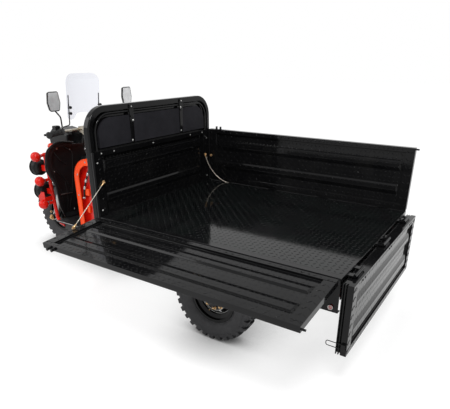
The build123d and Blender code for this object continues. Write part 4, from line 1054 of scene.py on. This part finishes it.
# ---- Leg shield ----
shield_lean = Vector((1.0, 0.0, 0.2)).normalized()
shield_rise = Vector((-0.2, 0.0, 1.0)).normalized()
shield_outline = [(0, 0.305), (0.230, 0.330), (0.325, 0.320), (0.355, 0.250), (0.350, 0.190), (0.290, 0.020)]
shield_outline += [(0.235, -0.246), (0, -0.258)]


def on_shield(y, z, n=0.0):
    """A point of the leg shield's plane, at a height, or n in front of it."""
    foot = Vector((1.550, 0, -0.258))
    return foot + Vector((0, y, 0)) + shield_rise * ((z + 0.258) / shield_rise.z) + shield_lean * n


def nearest(outline, point):
    """The point of an open outline that is nearest to another."""
    best = None
    for a, b in zip(outline, outline[1:]):
        a, b, p = Vector(a), Vector(b), Vector(point)
        t = max(0.0, min(1.0, (p - a).dot(b - a) / (b - a).length_squared))
        at = a + (b - a) * t
        if best is None or (at - p).length < (best - p).length:
            best = at
    return best


def smooth(points, steps=5):
    """A curve through points, as closely spaced points."""
    points = [Vector(p) for p in points]
    curve = []
    for i in range(len(points) - 1):
        p0, p1, p2, p3 = (points[max(0, min(len(points) - 1, i + k))] for k in (-1, 0, 1, 2))
        for step in range(steps):
            t = step / steps
            square, cube = 2 * p0 - 5 * p1 + 4 * p2 - p3, 3 * p1 - p0 - 3 * p2 + p3
            curve.append(0.5 * (2 * p1 + (p2 - p0) * t + square * t**2 + cube * t**3))
    curve.append(points[-1])
    return curve


def make_leg_shield_trim():
    """Wings, rolled rims, pressed lines, the column cover, screws and footboard ribs."""
    edge = [(0.170, 0.329), (0.235, 0.343), (0.302, 0.347), (0.362, 0.323), (0.393, 0.290), (0.403, 0.226)]
    edge += [(0.398, 0.160), (0.362, 0.097), (0.330, 0.042), (0.309, -0.033), (0.286, -0.136), (0.243, -0.225)]
    edge = smooth(edge, 6)
    # The CAD outline's heights lie along the plane, so they are brought to true heights first.
    inner = [(y, -0.258 + (z + 0.258) * shield_rise.z) for y, z in shield_outline]
    wings, rims, lines = Form(), Form(), Form()
    for side in (-1, 1):
        rings = []
        for point in edge:
            foot = nearest(inner, point)
            foot = foot + (foot - point).normalized() * 0.006
            across = [(0.0, 0.001), (0.3, 0.0035), (0.6, 0.002), (0.85, -0.003), (1.0, -0.009)]
            there = [(foot + (point - foot) * t, n) for t, n in across]
            ring = [on_shield(side * p.x, p.y, n) for p, n in there]
            ring += [on_shield(side * p.x, p.y, n + 0.004) for p, n in reversed(there)]
            rings.append(ring)
        wings.skin(rings)
        rims.tube([on_shield(side * p.x, p.y, -0.008) for p in edge], 0.0052, 12)
        # The pressed well and the ribs in the tray behind the rider's legs.
        well = [(0.141, -0.100), (0.148, -0.055), (0.177, 0.002), (0.217, 0.063), (0.262, 0.102), (0.318, 0.150)]
        well += [(0.328, 0.190), (0.325, 0.228), (0.312, 0.268), (0.282, 0.300), (0.232, 0.297), (0.184, 0.270)]
        well += [(0.147, 0.240), (0.140, 0.180), (0.141, -0.100)]
        lines.tube([on_shield(side * p.x, p.y, 0.0335) for p in smooth(well, 6)], 0.0042, 10)
        for rib in (
            [(0.300, 0.262), (0.253, 0.204), (0.195, 0.160)],
            [(0.207, 0.026), (0.190, -0.060), (0.183, -0.140), (0.185, -0.215)],
            [(0.150, -0.110), (0.160, -0.160), (0.158, -0.215)],
            [(0.245, -0.020), (0.232, -0.100), (0.220, -0.190)],
        ):
            lines.tube([on_shield(side * p.x, p.y, 0.0335) for p in smooth(rib, 6)], 0.0034, 10)
    # The column cover down the middle of the shield, on the rider's side.
    cover = []
    for z in (-0.215, -0.205, -0.05, 0.10, 0.185, 0.195):
        grow = 0.85 if z in (-0.215, 0.195) else 1.0
        ring = []
        for i in range(21):
            a = pi * i / 20
            y = -0.066 * cos(a) * grow
            n = 0.030 - 0.085 * (sin(a) ** 0.6) * grow
            ring.append(on_shield(y, z, n))
        cover.append(ring)
    lines.skin(cover)
    make("leg_shield_wings", wings, "chassis", "black_plastic", 40)
    make("leg_shield_rims", rims, "chassis", "black_plastic", 60)
    make("leg_shield_ribs", lines, "chassis", "black_plastic", 40)
    screws, steps = Form(), Form()
    for side in (-1, 1):
        for y, z in ((0.275, 0.285), (0.165, 0.262), (0.300, 0.120), (0.262, -0.01), (0.120, -0.215)):
            screws.screw(on_shield(side * y, z, 0.0352), -shield_lean, 0.0052, 0.0040)
        rung = [on_shield(side * y, z, 0.030) for y, z in ((0.256, -0.063), (0.148, -0.072))]
        screws.tube(rung, 0.0042, 10)
        # A bright edge strip and ribs along the footboard.
        screws.tube([(1.336, side * 0.2895, -0.2600), (1.586, side * 0.2895, -0.2600)], 0.0026, 8)
        for i in range(8):
            y = side * (0.085 + i * 0.024)
            steps.tube([(1.345, y, -0.2612), (1.530, y, -0.2612)], 0.0036, 8)
    make("leg_shield_screws", screws, "chassis", "steel_parts")
    make("footboard_ribs", steps, "chassis", "black_plastic")


# ---- Lamps, guards and the rider's place ----
guard_low, guard_high = -0.280, 0.240


def guard_x(z):
    """Where the leaning guard bars stand at a height."""
    return 1.620 + 0.045 * (z - guard_low) / (guard_high - guard_low)


def make_lamp_trim():
    cans, reflectors, lenses, screws = Form(), Form(), Form(), Form()
    for side in (-1, 1):
        for arm, z, r in ((0.057, 0.125, 0.060), (0.051, -0.050, 0.068)):
            at = Vector((guard_x(z) + arm, side * 0.250, z))
            # Cooling rings round the can, its rolled bezel and the cable gland on its back.
            for x in (0.024, 0.034, 0.044):
                cans.lathe(at, (1, 0, 0), bead(r * 0.965, x, 0.0022), 56, looped=True)
            cans.lathe(at, (1, 0, 0), bead(r + 0.0025, 0.0665, 0.0042, 10), 64, looped=True)
            gland = [(0.010, 0.006), (0.0105, -0.004), (0.0085, -0.006), (0.0080, -0.014), (0.0045, -0.016)]
            cans.lathe(at + Vector((0, 0, -r * 0.3)), (1, 0, 0), gland, 20)
            bowl = [(0.006, 0.0712), (r * 0.30, 0.0722), (r * 0.55, 0.0708)]
            bowl += [(r * 0.86, 0.0706), (r * 0.90, 0.0700)]
            reflectors.lathe(at, (1, 0, 0), bowl, 48)
            dome = [(r - 0.0055, 0.0700), (r - 0.0055, 0.0745), (r * 0.80, 0.0795)]
            dome += [(r * 0.45, 0.0838), (0.004, 0.0858)]
            lenses.lathe(at, (1, 0, 0), dome, 64)
            for i in range(6):
                a = radians(30 + 60 * i)
                spot = at + Vector((0.0700, (r + 0.0005) * cos(a), (r + 0.0005) * sin(a)))
                screws.screw(spot, (1, 0, 0), 0.0022, 0.0020)
        for z in (0.225, 0.045, -0.130):
            ball = Vector((1.650, side * 0.335, z))
            root = Vector((guard_x(z), side * 0.250, z))
            along = (ball - root).normalized()
            screws.lathe(ball - along * 0.040, along, [(0.0150, 0), (0.0150, 0.004), (0.0125, 0.0055)], 28)
    make("spot_lamp_rings", cans, "chassis", "black_plastic", 40)
    make("spot_reflectors", reflectors, "chassis", "steel_parts", 50)
    piece = make("spot_lamp_domes", lenses, "chassis", "lamp_lens", 50)
    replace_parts(piece, "spot_lenses")
    make("spot_lamp_screws", screws, "chassis", "steel_parts")


def make_seat_trim():
    """The lever on the left side, its fittings, and the seat box's lips, screws and beads."""
    levers, sleeves, tabs, lips, beads = Form(), Form(), Form(), Form(), Form()
    y = 0.254
    path = [(1.085, y, 0.186), (1.150, y, 0.192), (1.189, y, 0.172), (1.217, y, 0.120), (1.243, y, 0.069)]
    path += [(1.262, y, 0.018), (1.272, y, -0.036)]
    levers.tube(smooth(path, 6), 0.0062, 12)
    sleeve = [(0.0068, 0), (0.0092, 0.002), (0.0092, 0.022), (0.0068, 0.024)]
    spans = ((1.200, 0.152, 1.211, 0.130), (1.226, 0.103, 1.238, 0.079), (1.250, 0.050, 1.260, 0.022))
    for x0, z0, x1, z1 in spans:
        start, end = Vector((x0, y, z0)), Vector((x1, y, z1))
        sleeves.lathe(start, end - start, sleeve, 20)
    sleeves.nut((1.272, y, -0.036), (0, 1, 0), 0.0085, 0.010)
    sleeves.nut((1.150, y + 0.004, 0.190), (0, 1, 0), 0.0075, 0.008)
    for z in (0.130, 0.060):
        levers.block((1.165, 0.2365, z - 0.012), (1.195, 0.2525, z + 0.012), 0.002)
    tabs.block((1.222, 0.2365, -0.020), (1.271, 0.2500, 0.028), 0.0025)
    tabs.block((1.236, 0.2365, -0.150), (1.262, 0.2470, -0.100), 0.0025)
    for side in (-1, 1):
        # A rolled lip along both edges of the seat box's rim, and its screws.
        for inset_by, n in ((0.0022, 0.2702), (0.0425, 0.2702)):
            outline = seat_edge(inset_by)
            lips.tube([(x, side * n, z) for x, z in outline], 0.0024, 8)
        front = ((1.308, -0.18), (1.308, -0.02), (1.296, 0.130))
        top = ((1.200, 0.226), (1.060, 0.228), (0.930, 0.228))
        for x, z in front + top:
            sleeves.screw((x, side * 0.2702, z), (0, side, 0), 0.0048, 0.0036)
        # Raised beads on the red panels.
        for x in (0.95, 1.02, 1.09):
            low, high = (-0.05, 0.12) if x < 1.01 else (-0.19, 0.12)
            beads.tube([(x, side * 0.2362, low + (high - low) * i / 12) for i in range(13)], 0.0045, 8)
    make("side_levers", levers, "chassis", "black_plastic")
    make("side_lever_fittings", sleeves, "chassis", "steel_parts")
    make("seat_tabs", tabs, "chassis", "orange_paint")
    make("seat_rim_lips", lips, "chassis", "orange_paint", 50)
    make("seat_panel_beads", beads, "chassis", "red_paint", 50)


def seat_edge(by):
    """The seat box's outline from its lower front corner round to its back, moved in by a distance."""
    low, front, top, back, r = -0.268, 1.330 - by, 0.250 - by, 0.832, 0.150 - by
    points = [(front, low + (top - r - low) * i / 16) for i in range(17)]
    points += [(front - r + r * cos(a), top - r + r * sin(a)) for a in (pi / 2 * k / 12 for k in range(1, 13))]
    points += [(front - r - (front - r - back) * i / 16, top) for i in range(1, 17)]
    return points


# ---- Steering ----
rake = radians(26)
axis_dir, axis_out = Vector((-sin(rake), 0, cos(rake))), Vector((cos(rake), 0, sin(rake)))
axis_foot = Vector((1.868, 0, -0.330)) - axis_out * 0.040


def on_axis(along, out=0.0, y=0.0):
    """A place by the steering axis."""
    return axis_foot + axis_dir * along + axis_out * out + Vector((0, y, 0))


def bar_points():
    """The left half of the handlebar: its end, its elbow and its place at the clamp."""
    clamp = on_axis(0.807, 0.016)
    inner = Vector((clamp.x + 0.037, 0.090, clamp.z + 0.007))
    elbow = Vector((inner.x - 0.090, 0.240, inner.z + 0.015))
    return Vector((elbow.x - 0.048, 0.380, elbow.z - 0.003)), elbow, inner


def make_steering_trim():
    black, steel, grips, brass = Form(), Form(), Form(), Form()
    end, elbow, inner = bar_points()
    for side in (-1, 1):
        flip = Vector((1, side, 1))
        a, b, c = end * flip, elbow * flip, inner * flip
        along = (b - a).normalized()
        cap = [(0.0225, 0.002), (0.0235, -0.001), (0.0225, -0.0045), (0.0150, -0.0065), (0.0040, -0.0070)]
        grips.lathe(a, along, cap, 32)
        # Switch box and brake perch between the grip and the elbow, with their clamp screws.
        box_at = a + along * 0.128
        ring = [(0.0172, 0), (0.0205, 0.002), (0.0215, 0.010), (0.0215, 0.030), (0.0200, 0.036), (0.0160, 0.038)]
        black.lathe(box_at - along * 0.004, along, ring, 28)
        perch = [box_at + Vector((0.02, 0, 0.012)), box_at + along * 0.03 + Vector((0.026, 0, 0.014))]
        black.tube(perch, 0.0085, 12)
        for shift in (0.008, 0.024):
            steel.screw(box_at + along * shift + Vector((0, 0, 0.0212)), (0, 0, 1), 0.0030, 0.0024)
        master = box_at + Vector((0.036, 0, 0.020))
        low, high = master - Vector((0.018, 0.020, 0.010)), master + Vector((0.018, 0.020, 0.022))
        black.block(tuple(low), tuple(high), 0.004)
        # Mirror stem's lock nuts, on the bar by the elbow.
        foot = b + (c - b) * 0.12
        wide = [(0.0105, 0), (0.0105, 0.009), (0.009, 0.0105)]
        narrow = [(0.0085, 0), (0.0085, 0.007), (0.007, 0.008)]
        steel.lathe(foot + Vector((-0.004, 0, 0.012)), (0, 0, 1), wide, 6)
        steel.lathe(foot + Vector((-0.006, side * 0.002, 0.028)), (0, 0, 1), narrow, 6)
        # Fork: metal sliders, dust seals, gaiters, axle nut and pinch bolts.
        leg = on_axis(-0.028, 0.040, side * 0.092)
        slider = [(0.0215, 0.000), (0.0247, 0.006), (0.0247, 0.210), (0.0262, 0.214)]
        slider += [(0.0262, 0.232), (0.0247, 0.236), (0.0247, 0.250)]
        steel.lathe(leg, axis_dir, slider, 40)
        seal = [(0.0255, 0), (0.0265, 0.006), (0.0245, 0.026), (0.0190, 0.034)]
        black.lathe(leg + axis_dir * 0.252, axis_dir, seal, 32)
        for i in range(7):
            fold = [(0.0190, -0.007), (0.0262, 0.0), (0.0190, 0.007)]
            grips.lathe(leg + axis_dir * (0.292 + 0.016 * i), axis_dir, fold, 32)
        out = Vector((0, side, 0))
        brass.nut(Vector((1.868, side * 0.1302, -0.330)), out, 0.0165, 0.016, domed=False)
        for x, z in ((1.887, -0.289), (1.818, -0.298)):
            brass.nut(Vector((x, side * 0.1165, z)), out, 0.0072, 0.0085)
            steel.tube([(x, side * 0.095, z), (x, side * 0.117, z)], 0.0055, 10)
        # Screen clamps: round knobs behind the rods, and the rods' upper ends.
        spread = side * 0.138
        rear = on_axis(0.792)
        rear = Vector((rear.x - 0.010, 0, rear.z + 0.106))
        for up in (0.050, 0.090):
            knob = Vector((rear.x - 0.018 - up * 0.1, spread, rear.z + up))
            shape = [(0.0062, 0), (0.0098, -0.002), (0.0104, -0.006), (0.0098, -0.011), (0.0060, -0.013)]
            black.lathe(knob, (1, 0, 0), shape, 24)
        foot_up = Vector((rear.x - 0.0165, spread, rear.z + 0.104))
        tip = foot_up + Vector((-0.0075, 0, 0.066))
        black.tube([foot_up, tip], 0.0034, 10)
    # Instruments: two dials with bezels, tell-tales and a key barrel on the box behind the cowl.
    stem = on_axis(0.712)
    top = Vector((stem.x + 0.080, 0, 0.3785))
    for side in (-1, 1):
        hub = top + Vector((-0.004, side * 0.034, 0))
        ring = [(0.0268, -0.001), (0.0275, 0.0022), (0.0258, 0.0036), (0.0245, 0.0020)]
        steel.lathe(hub, (0, 0, 1), ring, 48)
        black.lathe(hub, (0, 0, 1), [(0.0248, -0.001), (0.0248, 0.0012), (0.0040, 0.0014)], 40)
        for i in range(13):
            a = radians(-40 + 260 * i / 12)
            spoke = Vector((cos(a), sin(a), 0))
            steel.tube([hub + spoke * reach + Vector((0, 0, 0.0014)) for reach in (0.0195, 0.0232)], 0.0005, 6)
        steel.tube([hub + Vector((0, 0, 0.0020)), hub + Vector((-0.014, 0.010 * side, 0.0020))], 0.0006, 6)
    barrel = [(0.0095, 0), (0.0095, 0.004), (0.0070, 0.0055), (0.0025, 0.0055)]
    steel.lathe(top + Vector((-0.034, 0, -0.002)), (0, 0, 1), barrel, 28)
    # Headlight bezel.
    nose = stem.x + 0.270 - 0.016
    turns = (2 * pi * k / 10 for k in range(10))
    rim = [(0.0650 + 0.0045 * cos(a), 0.0035 * sin(a)) for a in turns]
    steel.lathe(Vector((nose, 0, 0.290)), (1, 0, 0), rim, 72, looped=True)
    # Top yoke bolts.
    for side in (-1, 1):
        steel.nut(on_axis(0.5265, 0.040, side * 0.092), axis_dir, 0.0125, 0.011, domed=False)
        for x in (-0.020, 0.030):
            steel.screw(on_axis(0.8222, 0.016 + x, side * 0.020), axis_dir, 0.0048, 0.0046)
    make("steering_black_parts", black, "steering", "black_plastic", 40)
    make("steering_fittings", steel, "steering", "steel_parts", 40)
    make("grip_ends_and_gaiters", grips, "steering", "grip_rubber", 50)
    make("fork_nuts", brass, "steering", "brass")


make_camera()
materials = make_materials()
dress_nodes(materials)
make_stage()
make_lamps()
make_right_cable(materials)
make_tread()
make_tyres()
make_wheel_trim()
make_headboard_trim()
make_stay_ends()
make_panel_trim()
make_rear_trim()
make_leg_shield_trim()
make_lamp_trim()
make_seat_trim()
make_steering_trim()
make_cushions()
